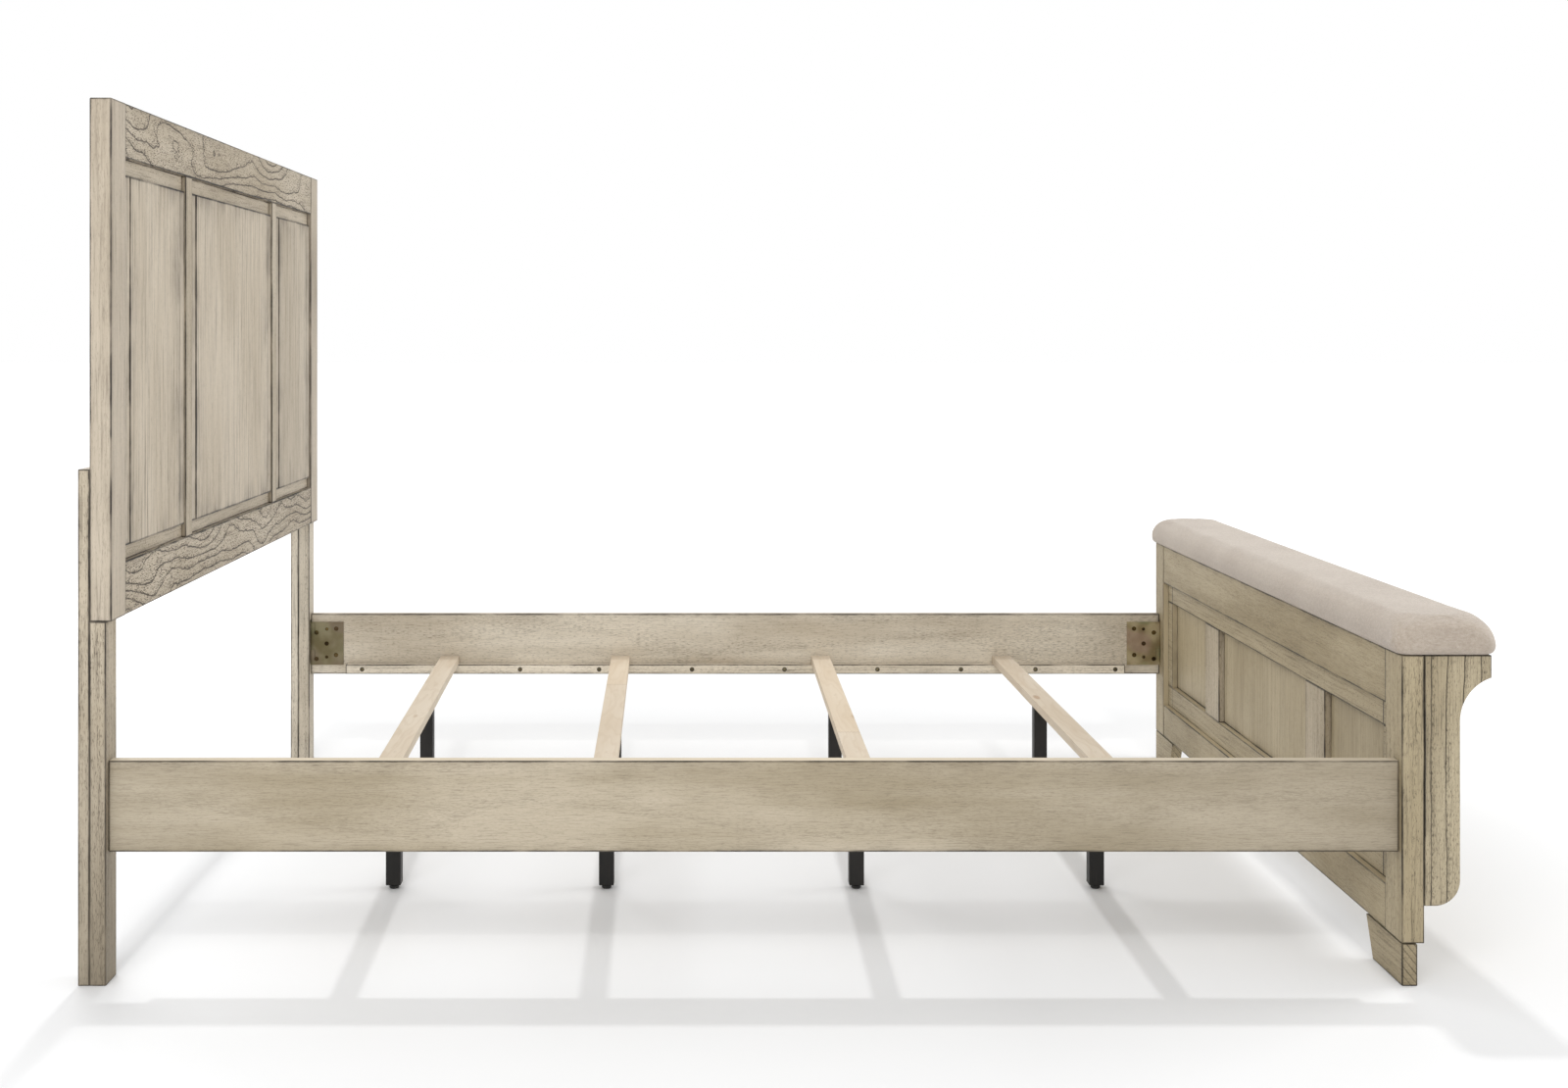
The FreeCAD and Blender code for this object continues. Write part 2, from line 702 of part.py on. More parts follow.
CLEAT_SCREWS = (-966.0, -773.0, -580.0, -387.0, -160.0, 66.0, 293.0, 497.0, 679.0, 874.0)
solids = []
for sign in (-1, 1):
    y_face = sign * (number(rail_inner) - number(D.cleat_thick))
    for x_screw in CLEAT_SCREWS:
        solids.append(screw((x_screw, y_face, 227.0), (0, sign, 0), 4.0, 2.2, 2.0, 34.0, "pan"))
group("cleat_screws", solids)

solids = []
for sign in (-1, 1):
    y_face = sign * (number(rail_inner) - number(D.plate_thick))
    for end in (-1, 1):
        x_ref = number(rail_start) + 0.3 if end < 0 else number(rail_end) - 0.3
        for across, up in SCREW_HOLES:
            x = x_ref - end * across
            solids.append(screw((x, y_face + sign * 0.15, number(D.plate_bottom) + up),
                                (0, sign, 0), 4.6, 2.2, 2.0, 18.0))
        for across, up in RIVET_HOLES:
            x = x_ref - end * across
            solids.append(screw((x, y_face, number(D.plate_bottom) + up),
                                (0, sign, 0), 3.4, 1.4, 2.1, 10.0, "pan"))
group("bracket_screws", solids)

solids = []
for name, centre_x, turn in SLATS:
    for sign in (-1, 1):
        for reach, length in ((number(rail_inner) - 11.0, 36.0),
                              (number(D.support_offset), 60.0)):
            px, py = turned(0.0, sign * reach, number(centre_x), turn.value)
            solids.append(screw((px, py, number(slat_top) - 0.2), (0, 0, -1),
                                4.9, 2.3, 2.1, length))
group("slat_screws", solids)

solids = []
for sign in (-1, 1):
    y = sign * (number(D.half_width) - number(D.leg_wide) * 0.5)
    for z in (120.0, 480.0, 640.0, 790.0):
        x = number(D.back_x) + 5.5
        bolt = screw((x, y, z), (1, 0, 0), 7.5, 5.0, 4.0, 34.0, "cap")
        hexagon = Part.makePolygon([FreeCAD.Vector(0, 2.9 * math.cos(math.radians(60 * k)),
                                                   2.9 * math.sin(math.radians(60 * k)))
                                    for k in range(7)])
        socket = Part.Face(hexagon).extrude(FreeCAD.Vector(3.0, 0, 0))
        socket.translate(FreeCAD.Vector(x - 5.01, y, z))
        solids.append(bolt.cut(socket))
group("headboard_leg_bolts", solids)

# ---------------------------------------------------------------- footboard
foot_core = foot_front + D.foot_core_recess
foot_stile_inner = D.half_width - D.foot_stile_wide

for side, sign in SIDES:
    y0, y1 = side_span(sign, foot_stile_inner, D.half_width)
    stile = spanned("footboard_%s_stile" % side, foot_front, foot_back, y0, y1,
                    D.foot_bottom, D.foot_top, D.ease)
    centre = plate_mid * sign
    stile.cut_box(-0.2, centre - D.receiver_wide * 0.5 - y0 - 0.1,
                  D.receiver_bottom - 0.1 - D.foot_bottom,
                  D.receiver_thick + 0.2, D.receiver_wide + 0.2, D.receiver_high + 0.2)
    stile.cut_box(0.0, centre - 5.0 - y0, D.receiver_bottom + 4.0 - D.foot_bottom,
                  D.mortise_deep, 10.0, D.receiver_high - 8.0)

spanned("footboard_top_rail", foot_front + D.foot_rail_setback, foot_back,
        -foot_stile_inner, foot_stile_inner, D.foot_top_rail_bottom, D.foot_top, D.ease)
spanned("footboard_bottom_rail", foot_front + D.foot_rail_setback, foot_back,
        -foot_stile_inner, foot_stile_inner, D.foot_bottom, D.foot_bottom_rail_top,
        D.ease_heavy)

frame_front = foot_front + D.foot_frame_recess
foot_end_inner = foot_stile_inner - D.foot_frame_end_wide
foot_mullion_inner = D.mullion_centre - D.foot_mullion_wide * 0.5
foot_mullion_outer = D.mullion_centre + D.foot_mullion_wide * 0.5
# the inner frame: long top and bottom members with short end members between
members = [
    spanned("footboard_inner_top_member", frame_front, foot_core,
            -foot_stile_inner, foot_stile_inner,
            D.foot_frame_upper_bottom, D.foot_top_rail_bottom, D.ease_raw),
    spanned("footboard_inner_bottom_member", frame_front, foot_core,
            -foot_stile_inner, foot_stile_inner,
            D.foot_bottom_rail_top, D.foot_frame_lower_top, D.ease_raw)]
mullions = []
for side, sign in SIDES:
    y0, y1 = side_span(sign, foot_end_inner, foot_stile_inner)
    members.append(spanned("footboard_%s_end_member" % side, frame_front, foot_core,
                           y0, y1, D.foot_frame_lower_top, D.foot_frame_upper_bottom,
                           D.ease_raw))
    y0, y1 = side_span(sign, foot_mullion_inner, foot_mullion_outer)
    mullions.append(spanned("footboard_%s_mullion" % side, frame_front, foot_core,
                            y0, y1, D.foot_frame_lower_top, D.foot_frame_upper_bottom,
                            D.ease_raw))
join("footboard_inner_frame", members)
join("footboard_mullions", mullions)

foot_bays = (("near", -foot_end_inner, -foot_mullion_outer),
             ("centre", -foot_mullion_inner, foot_mullion_inner),
             ("far", foot_mullion_outer, foot_end_inner))
for name, y0, y1 in foot_bays:
    spanned("footboard_%s_panel" % name, foot_front + D.foot_panel_recess, foot_core,
            y0, y1, D.foot_frame_lower_top, D.foot_frame_upper_bottom, None)

spanned("footboard_outer_board", foot_core, foot_back, -foot_stile_inner,
        foot_stile_inner, D.foot_bottom_rail_top, D.foot_top_rail_bottom, None)

# bracket feet: tapered blocks under each end of the footboard
for side, sign in SIDES:
    label = "footboard_%s_bracket_foot" % side
    body = doc.addObject("PartDesign::Body", label)
    body.Label = label
    place(body, foot_front, D.half_width * sign, 0)
    wide_top = D.bracket_foot_top_wide * (-sign)
    wide_low = D.bracket_foot_floor_wide * (-sign)
    high = D.foot_bottom - D.bracket_foot_gap
    sketch = polygon_sketch(body, label + "_outline", "YZ_Plane",
                            [(0, 0), (wide_low, 0), (wide_top, high), (0, high)])
    pad = body.newObject("PartDesign::Pad", label + "_pad")
    pad.Profile = sketch
    bind(pad, "Length", D.bracket_foot_thick)
    sketch.Visibility = False
    body.Tip = pad
    doc.recompute()
    if pad.Shape.BoundBox.XMin < -0.01:
        pad.Reversed = True
        doc.recompute()
    fillet = body.newObject("PartDesign::Fillet", label + "_ease")
    fillet.Base = (pad, ["Edge%d" % (i + 1) for i in range(len(pad.Shape.Edges))])
    bind(fillet, "Radius", D.ease)
    body.Tip = fillet
    doc.recompute()
    # low shoulder that bears on the rail above and leaves a thin shadow gap
    shoulder = body.newObject("PartDesign::AdditiveBox", label + "_shoulder")
    bind(shoulder, "Length", D.bracket_foot_thick - 6.0)
    bind(shoulder, "Width", D.bracket_foot_top_wide - 40.0)
    bind(shoulder, "Height", D.bracket_foot_gap + 3.0)
    place(shoulder, 3.0,
          Size.of(10.0) if sign < 0 else 30.0 - D.bracket_foot_top_wide,
          D.foot_bottom - D.bracket_foot_gap - 3.0)
    body.Tip = shoulder
    doc.recompute()
    pieces.append(body)


# corbels: shaped boards against the outer face at each end of the footboard
for side, sign in SIDES:
    label = "footboard_%s_corbel" % side
    body = doc.addObject("PartDesign::Body", label)
    body.Label = label
    y0, y1 = side_span(sign, D.half_width - D.corbel_wide, D.half_width)
    place(body, foot_back + D.corbel_gap, y0, 0)
    sketch = body.newObject("Sketcher::SketchObject", label + "_outline")
    sketch.AttachmentSupport = [(plane(body, "XZ_Plane"), "")]
    sketch.MapMode = "FlatFace"
    deep, flare = number(D.corbel_deep), number(D.corbel_flare)
    low, toe = number(D.corbel_bottom), number(D.corbel_toe_radius)
    cove0, nose, top = (number(D.corbel_cove_bottom), number(D.corbel_nose_bottom),
                        number(D.foot_top))
    V = FreeCAD.Vector
    # the cove leaves the board tangentially and ends under the nose
    rise, run = nose - cove0, flare - deep
    cove_radius = (rise * rise + run * run) / (2.0 * run)
    cove_centre = V(deep + cove_radius, cove0, 0)
    end_angle = math.atan2(nose - cove0, flare - (deep + cove_radius))
    sketch.addGeometry(Part.LineSegment(V(0, low, 0), V(deep - toe, low, 0)), False)
    sketch.addGeometry(Part.ArcOfCircle(Part.Circle(V(deep - toe, low + toe, 0), V(0, 0, 1), toe),
                                        -math.pi / 2, 0), False)
    sketch.addGeometry(Part.LineSegment(V(deep, low + toe, 0), V(deep, cove0, 0)), False)
    sketch.addGeometry(Part.ArcOfCircle(Part.Circle(cove_centre, V(0, 0, 1), cove_radius),
                                        end_angle, math.pi), False)
    sketch.addGeometry(Part.LineSegment(V(flare, nose, 0), V(flare, top, 0)), False)
    sketch.addGeometry(Part.LineSegment(V(flare, top, 0), V(0, top, 0)), False)
    sketch.addGeometry(Part.LineSegment(V(0, top, 0), V(0, low, 0)), False)
    C = Sketcher.Constraint
    for a, pa, b, pb in ((2, 2, 3, 2), (3, 1, 4, 1), (4, 2, 5, 1), (5, 2, 6, 1),
                         (6, 2, 0, 1)):
        sketch.addConstraint(C("Coincident", a, pa, b, pb))
    for i in (0, 5):
        sketch.addConstraint(C("Horizontal", i))
    for i in (2, 4, 6):
        sketch.addConstraint(C("Vertical", i))
    sketch.addConstraint(C("Tangent", 0, 2, 1, 1))
    sketch.addConstraint(C("Tangent", 1, 2, 2, 1))
    sketch.addConstraint(C("PointOnObject", 6, 1, -2))
    for label_c, kind, geo, point, size in (
            ("low", "DistanceY", 0, 1, D.corbel_bottom),
            ("deep", "DistanceX", 2, 1, D.corbel_deep),
            ("cove_low", "DistanceY", 2, 2, D.corbel_cove_bottom),
            ("flare", "DistanceX", 4, 1, D.corbel_flare),
            ("nose", "DistanceY", 4, 1, D.corbel_nose_bottom),
            ("top", "DistanceY", 5, 1, D.foot_top)):
        index = sketch.addConstraint(C(kind, -1, 1, geo, point, size.value))
        sketch.renameConstraint(index, label_c)
        sketch.setExpression("Constraints." + label_c, size.text)
    index = sketch.addConstraint(C("Radius", 1, toe))
    sketch.renameConstraint(index, "toe")
    sketch.setExpression("Constraints.toe", D.corbel_toe_radius.text)
    index = sketch.addConstraint(C("DistanceY", -1, 1, 3, 3, cove0))
    sketch.renameConstraint(index, "cove_centre")
    sketch.setExpression("Constraints.cove_centre", D.corbel_cove_bottom.text)
    pad = body.newObject("PartDesign::Pad", label + "_pad")
    pad.Profile = sketch
    bind(pad, "Length", D.corbel_wide)
    sketch.Visibility = False
    body.Tip = pad
    doc.recompute()
    if pad.Shape.BoundBox.YMin < -0.01:
        pad.Reversed = True
        doc.recompute()
    edges = []
    for i, edge in enumerate(pad.Shape.Edges, start=1):
        box = edge.BoundBox
        # ease the outlines of both flat sides, not the back against the board
        if box.YLength < 0.01 and box.XMax > 0.01:
            edges.append("Edge%d" % i)
    fillet = body.newObject("PartDesign::Fillet", label + "_ease")
    fillet.Base = (pad, edges)
    bind(fillet, "Radius", D.ease)
    body.Tip = fillet
    doc.recompute()
    pieces.append(body)

# the padded top on its plywood board
spanned("cushion_seat_board", D.seat_board_front_x, D.seat_board_back_x,
        -(D.half_width - D.seat_board_in), D.half_width - D.seat_board_in,
        D.foot_top, D.foot_top + D.seat_board_thick, D.ease_raw)

cushion = spanned("footboard_cushion", D.cushion_front_x, D.cushion_back_x,
                  -(D.half_width + D.cushion_over), D.half_width + D.cushion_over,
                  D.foot_top + 0.3, D.cushion_top)
base = cushion.body.Tip
upright, upper = [], []
for i, edge in enumerate(base.Shape.Edges, start=1):
    box = edge.BoundBox
    if box.ZLength > 1:
        upright.append("Edge%d" % i)
fillet = cushion.body.newObject("PartDesign::Fillet", "cushion_corners")
fillet.Base = (base, upright)
fillet.Radius = 20.0
cushion.body.Tip = fillet
doc.recompute()
top_face = [i for i, face in enumerate(fillet.Shape.Faces, start=1)
            if abs(face.CenterOfMass.z - fillet.Shape.BoundBox.ZMax) < 0.01][0]
crown = cushion.body.newObject("PartDesign::Fillet", "cushion_crown")
crown.Base = (fillet, ["Face%d" % top_face])
crown.Radius = 19.5
cushion.body.Tip = crown
doc.recompute()
cushion.cut_box(D.seat_board_front_x - D.cushion_front_x - 0.3,
                D.cushion_over + D.seat_board_in - 0.3,
                -1.0, D.seat_board_back_x - D.seat_board_front_x + 0.6,
                D.half_width * 2 - D.seat_board_in * 2 + 0.6, D.seat_board_thick + 1.0)

# ---------------------------------------------------------------- checks, export
doc.recompute()
for obj in doc.Objects:
    if "Invalid" in obj.State or "Error" in obj.State:
        raise RuntimeError("failed object: %s %s" % (obj.Name, obj.State))
labels = set()
for piece in pieces:
    shape = piece.Shape
    if shape.isNull() or not shape.isValid():
        raise RuntimeError("bad shape: " + piece.Label)
    if piece.Label in labels:
        raise RuntimeError("label used twice: " + piece.Label)
    labels.add(piece.Label)
    if shape.Volume <= 0:
        raise RuntimeError("no volume: " + piece.Label)
    if piece.TypeId == "PartDesign::Body" and len(shape.Solids) != 1:
        raise RuntimeError("%s has %d solids" % (piece.Label, len(shape.Solids)))
if len(pieces) > 60:
    raise RuntimeError("too many nodes: %d" % len(pieces))

for old in os.listdir("parts"):
    if old.endswith(".step") and old[:-5] not in labels:
        os.remove(os.path.join("parts", old))
low = [1e9] * 3
high = [-1e9] * 3
for piece in pieces:
    piece.Shape.exportStep("parts/%s.step" % piece.Label)
    box = piece.Shape.BoundBox
    for k, (a, b) in enumerate(((box.XMin, box.XMax), (box.YMin, box.YMax), (box.ZMin, box.ZMax))):
        low[k] = min(low[k], a)
        high[k] = max(high[k], b)
print("nodes", len(pieces))
print("box", [round(v, 2) for v in low], [round(v, 2) for v in high])
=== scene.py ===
import json
import math

import bmesh
import bpy
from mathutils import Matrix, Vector

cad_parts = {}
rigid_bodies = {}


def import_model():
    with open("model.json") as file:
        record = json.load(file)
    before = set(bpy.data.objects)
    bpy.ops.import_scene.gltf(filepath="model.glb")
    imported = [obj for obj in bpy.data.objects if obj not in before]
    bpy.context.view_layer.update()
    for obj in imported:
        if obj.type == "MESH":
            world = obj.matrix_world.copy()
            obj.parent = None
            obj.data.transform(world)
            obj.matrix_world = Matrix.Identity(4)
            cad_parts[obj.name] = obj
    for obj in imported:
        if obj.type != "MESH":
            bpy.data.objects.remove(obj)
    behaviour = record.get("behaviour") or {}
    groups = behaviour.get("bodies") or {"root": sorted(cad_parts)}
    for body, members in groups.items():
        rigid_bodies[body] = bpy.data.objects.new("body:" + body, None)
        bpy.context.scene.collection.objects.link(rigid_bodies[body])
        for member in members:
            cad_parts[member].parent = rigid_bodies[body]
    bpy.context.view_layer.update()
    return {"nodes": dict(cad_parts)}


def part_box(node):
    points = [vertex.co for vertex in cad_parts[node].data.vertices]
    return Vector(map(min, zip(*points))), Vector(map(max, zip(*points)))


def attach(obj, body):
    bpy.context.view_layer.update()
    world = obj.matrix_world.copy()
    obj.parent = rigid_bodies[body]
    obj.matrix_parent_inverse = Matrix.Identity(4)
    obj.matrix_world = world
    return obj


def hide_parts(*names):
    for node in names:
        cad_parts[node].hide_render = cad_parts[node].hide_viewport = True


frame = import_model()
nodes = frame["nodes"]
scene = bpy.context.scene


# ------------------------------------------------------------------ node helpers
def linear(r, g, b):
    """An 8-bit display colour as scene-linear values."""
    out = []
    for v in (r, g, b):
        v = v / 255.0
        out.append(v / 12.92 if v <= 0.04045 else ((v + 0.055) / 1.055) ** 2.4)
    return (out[0], out[1], out[2], 1.0)


class Graph:
    """Short ways to write a shader's nodes."""

    def __init__(self, name):
        self.mat = bpy.data.materials.new(name)
        self.mat.use_nodes = True
        self.tree = self.mat.node_tree
        self.tree.nodes.clear()
        self.out = self.tree.nodes.new("ShaderNodeOutputMaterial")
        self.bsdf = self.tree.nodes.new("ShaderNodeBsdfPrincipled")
        self.tree.links.new(self.bsdf.outputs[0], self.out.inputs[0])
        self._coords = None
        self._geometry = None

    def put(self, socket, value):
        if isinstance(value, bpy.types.NodeSocket):
            self.tree.links.new(value, socket)
        else:
            socket.default_value = value

    def shade(self, **values):
        for name, value in values.items():
            self.put(self.bsdf.inputs[name.replace("_", " ")], value)

    def position(self):
        if self._coords is None:
            self._coords = self.tree.nodes.new("ShaderNodeTexCoord").outputs["Object"]
        return self._coords

    def normal(self):
        if self._geometry is None:
            self._geometry = self.tree.nodes.new("ShaderNodeNewGeometry")
        return self._geometry.outputs["True Normal"]

    def smooth_normal(self):
        self.normal()
        return self._geometry.outputs["Normal"]

    def math(self, op, a, b=0.0, c=0.0, clamp=False):
        n = self.tree.nodes.new("ShaderNodeMath")
        n.operation = op
        n.use_clamp = clamp
        self.put(n.inputs[0], a)
        self.put(n.inputs[1], b)
        self.put(n.inputs[2], c)
        return n.outputs[0]

    def vec(self, op, a, b=(0.0, 0.0, 0.0)):
        n = self.tree.nodes.new("ShaderNodeVectorMath")
        n.operation = op
        self.put(n.inputs[0], a)
        self.put(n.inputs[1], b)
        return n.outputs["Value"] if op in ("DOT_PRODUCT", "LENGTH") else n.outputs["Vector"]

    def split(self, v):
        n = self.tree.nodes.new("ShaderNodeSeparateXYZ")
        self.put(n.inputs[0], v)
        return n.outputs[0], n.outputs[1], n.outputs[2]

    def join(self, x, y, z):
        n = self.tree.nodes.new("ShaderNodeCombineXYZ")
        for i, value in enumerate((x, y, z)):
            self.put(n.inputs[i], value)
        return n.outputs[0]

    def noise(self, v, detail=2.0, rough=0.5, distortion=0.0):
        n = self.tree.nodes.new("ShaderNodeTexNoise")
        n.noise_dimensions = "3D"
        self.put(n.inputs["Vector"], v)
        n.inputs["Scale"].default_value = 1.0
        n.inputs["Detail"].default_value = detail
        n.inputs["Roughness"].default_value = rough
        n.inputs["Distortion"].default_value = distortion
        return n.outputs[0]

    def cells(self, v, feature="DISTANCE_TO_EDGE"):
        n = self.tree.nodes.new("ShaderNodeTexVoronoi")
        n.feature = feature
        self.put(n.inputs["Vector"], v)
        n.inputs["Scale"].default_value = 1.0
        return n.outputs["Distance"]

    def smooth(self, x, lo, hi, to_lo=0.0, to_hi=1.0):
        n = self.tree.nodes.new("ShaderNodeMapRange")
        n.interpolation_type = "SMOOTHSTEP"
        self.put(n.inputs["Value"], x)
        self.put(n.inputs["From Min"], lo)
        self.put(n.inputs["From Max"], hi)
        self.put(n.inputs["To Min"], to_lo)
        self.put(n.inputs["To Max"], to_hi)
        return n.outputs[0]

    def mix(self, share, a, b):
        n = self.tree.nodes.new("ShaderNodeMix")
        n.data_type = "RGBA"
        self.put(n.inputs["Factor"], share)
        self.put([s for s in n.inputs if s.name == "A" and s.type == "RGBA"][0], a)
        self.put([s for s in n.inputs if s.name == "B" and s.type == "RGBA"][0], b)
        return [s for s in n.outputs if s.type == "RGBA"][0]

    def bump(self, height, distance, strength=1.0):
        n = self.tree.nodes.new("ShaderNodeBump")
        n.inputs["Strength"].default_value = strength
        n.inputs["Distance"].default_value = distance
        self.put(n.inputs["Height"], height)
        return n.outputs[0]


# ------------------------------------------------------------------ wood
AXES = {"x": 0, "y": 1, "z": 2}


def along(axis, lengthwise, across):
    v = [across, across, across]
    v[AXES[axis]] = lengthwise
    return tuple(v)


def edge_distance(g, p, lo, hi, fold):
    """Distance to the nearest edge of a board, from its box."""
    x, y, z = g.split(p)
    if fold:
        y = g.math("ABSOLUTE", y)
    dist = []
    for value, a, b in zip((x, y, z), lo, hi):
        below = g.math("ABSOLUTE", g.math("SUBTRACT", value, a))
        above = g.math("ABSOLUTE", g.math("SUBTRACT", b, value))
        dist.append(g.math("MINIMUM", below, above))
    a, b, c = dist
    low = g.math("MINIMUM", a, b)
    high = g.math("MAXIMUM", a, b)
    return g.math("MAXIMUM", low, g.math("MINIMUM", high, c))


LOOKS = {
    # line: ring lines; pore: open pores; fibre: fine streaks; edge and wide: thin
    # and wide glaze along the edges; dash and thread: how fine the pores and the
    # fibres are, along and across the grain
    "plain": dict(line=0.10, pore=0.42, fibre=0.80, blotch=0.55, per_metre=55.0,
                  warp=2.0, jag=0.15, edge=0.95, wide=0.30, reach=0.010, slim=0.0030,
                  dash=(110.0, 900.0), thread=(9.0, 300.0), gate=0.57),
    "panel": dict(line=0.06, pore=0.30, fibre=1.25, blotch=0.50, per_metre=60.0,
                  warp=2.0, jag=0.10, edge=1.0, wide=0.85, reach=0.027, slim=0.0046,
                  dash=(70.0, 800.0), thread=(5.0, 290.0), streak=0.75, band=(1.3, 110.0)),
    "rail": dict(line=0.10, pore=0.22, fibre=0.62, blotch=0.80, per_metre=11.0,
                 warp=3.0, jag=0.25, edge=0.90, wide=0.38, reach=0.014, slim=0.0042,
                 dash=(120.0, 1100.0), thread=(26.0, 640.0), streak=1.0, gate=0.55,
                 even=0.0, width=0.0012),
    "figured": dict(line=1.0, pore=0.90, fibre=0.85, blotch=0.75, per_metre=36.0,
                    warp=9.5, jag=0.50, edge=1.0, wide=0.40, reach=0.012, gate=0.55,
                    long=2.9, short=7.5, rough=(24.0, 34.0), width=0.0023, even=0.62,
                    dash=(110.0, 620.0), thread=(14.0, 330.0), slim=0.0034),
    "open": dict(line=0.95, pore=0.85, fibre=1.0, blotch=0.55, per_metre=42.0,
                 warp=1.6, jag=0.16, edge=1.0, wide=0.50, reach=0.012, gate=0.57,
                 dash=(130.0, 1500.0), thread=(14.0, 480.0), width=0.0014, even=0.60,
                 slim=0.0020),
}

TONES = {
    "greige": (linear(190, 178, 158), linear(160, 146, 122), linear(56, 44, 31)),
    "side": (linear(190, 178, 157), linear(156, 143, 118), linear(66, 54, 38)),
    # foot: darker, partly the footboard's own wood and partly painted shade on faces turned from the
    # light
    "foot": (linear(174, 160, 131), linear(146, 131, 100), linear(48, 38, 25)),
    "corbel": (linear(181, 168, 141), linear(137, 122, 93), linear(42, 34, 23)),
    # far: a paler copy of greige, painted light lifting the far pieces out of their shade
    "far": (linear(214, 204, 186), linear(180, 167, 146), linear(62, 50, 36)),
    "post": (linear(191, 179, 161), linear(156, 143, 124), linear(52, 41, 29)),
    "pale": (linear(226, 215, 196), linear(196, 183, 160), linear(62, 50, 36)),
    "midfoot": (linear(183, 170, 147), linear(156, 142, 117), linear(52, 41, 28)),
    "field": (linear(200, 188, 169), linear(170, 156, 133), linear(56, 44, 31)),
}


def wood(name, grain, look, tone, seed, lo=None, hi=None, fold=False, edge=None, fade=(), **over):
    s = dict(LOOKS[look])
    s.update(over)
    light, warm, glaze = TONES[tone]
    painted_shade_colour = tuple(c * 0.45 for c in warm[:3]) + (1.0,)
    g = Graph(name)
    p = g.position()
    shifted = g.vec("ADD", p, (seed * 3.17, seed * 1.91, seed * 2.43))
    if fold:
        x, y, z = g.split(p)
        shifted = g.vec("ADD", shifted, g.join(g.math("MULTIPLY", g.math("SIGN", y), 0.77),
                                               0.0, g.math("SIGN", y)))

    # growth rings: contours of a smooth field that runs along the grain
    cross = [0.0, 0.0, 0.0]
    for axis in range(3):
        if axis != AXES[grain]:
            cross[axis] = s["per_metre"] * (1.0 if axis != s.get("flat", 0) else 0.8)
    low = along(grain, s.get("long", 1.7), s.get("short", 6.5))
    high = along(grain, *s.get("rough", (26.0, 70.0)))

    def field(at):
        base = g.vec("DOT_PRODUCT", at, tuple(cross))
        a = g.noise(g.vec("MULTIPLY", at, low), 1.0, 0.4)
        b = g.noise(g.vec("MULTIPLY", at, high), 1.5, 0.5)
        f = g.math("MULTIPLY_ADD", a, s["warp"], base)
        return g.math("MULTIPLY_ADD", b, s["jag"], f)

    here = field(shifted)
    ring = g.math("FRACT", here)
    if s["line"] > 0.05:
        step = 0.0012
        slopes = []
        for axis in range(3):
            offset = [0.0, 0.0, 0.0]
            offset[axis] = step
            there = field(g.vec("ADD", shifted, tuple(offset)))
            slopes.append(g.math("DIVIDE", g.math("SUBTRACT", there, here), step))
        slope = g.join(*slopes)
        on_face = g.vec("LENGTH", g.vec("CROSS_PRODUCT", slope, g.normal()))
        to_line = g.math("DIVIDE", g.math("MINIMUM", ring, g.math("SUBTRACT", 1.0, ring)),
                         g.math("MAXIMUM", on_face, 4.0))
        line = g.smooth(to_line, 0.0003, s.get("width", 0.0014), 1.0, 0.0)
        uneven = g.noise(g.vec("MULTIPLY", shifted, along(grain, 14.0, 40.0)), 2.0, 0.6)
        line = g.math("MULTIPLY", line, g.smooth(uneven, 0.28, 0.62, s.get("even", 0.40), 1.0))
    else:
        line = None

    # open pores: short dark dashes, thicker just beside each ring line
    dash = g.noise(g.vec("MULTIPLY", shifted, along(grain, *s.get("dash", (62.0, 520.0)))), 2.0, 0.6)
    early = g.smooth(ring, 0.0, 0.45, 1.0, 0.0)
    gate = g.math("MULTIPLY_ADD", early, -0.06, s.get("gate", 0.60))
    patch = g.noise(g.vec("MULTIPLY", shifted, along(grain, 3.0, 11.0)), 2.0, 0.5)
    gate = g.math("MULTIPLY_ADD", patch, -0.10, g.math("ADD", gate, 0.05))
    pore = g.smooth(dash, gate, g.math("ADD", gate, 0.09))

    fibre = g.noise(g.vec("MULTIPLY", shifted, along(grain, *s.get("thread", (5.0, 150.0)))),
                    4.0, 0.65)
    streak = g.noise(g.vec("MULTIPLY", shifted, along(grain, *s.get("band", (1.6, 34.0)))),
                     3.0, 0.55)
    cloud = g.noise(g.vec("MULTIPLY", shifted, along(grain, 1.9, 6.0)), 3.0, 0.55)

    # tone: clouds of thinner and thicker stain, then streaks along the grain
    tone_share = g.smooth(cloud, 0.34, 0.70)
    tone_share = g.math("MULTIPLY", tone_share, s["blotch"])
    tone_share = g.math("ADD", tone_share,
                        g.math("MULTIPLY", g.math("SUBTRACT", streak, 0.5),
                               s.get("streak", 0.9)), clamp=True)
    colour = g.mix(tone_share, light, warm)
    fine = g.smooth(fibre, 0.48, 0.74)
    colour = g.mix(g.math("MULTIPLY", fine, s["fibre"] * 0.55), colour, glaze)
    pale = g.smooth(fibre, 0.46, 0.20)
    bright = tuple(min(1.0, c * 1.16) for c in light[:3]) + (1.0,)
    colour = g.mix(g.math("MULTIPLY", pale, 0.35 * s["fibre"]), colour, bright)
    colour = g.mix(g.math("MULTIPLY", pore, s["pore"]), colour, glaze)
    if line is not None:
        share = g.math("MULTIPLY", line, s["line"])
        if s.get("lean"):
            end_face = g.math("ABSOLUTE", g.vec("DOT_PRODUCT", g.normal(), along(grain, 1.0, 0.0)))
            share = g.math("MULTIPLY", share, g.smooth(end_face, 0.5, 0.9, 0.15, 1.0))
        colour = g.mix(share, colour, glaze)

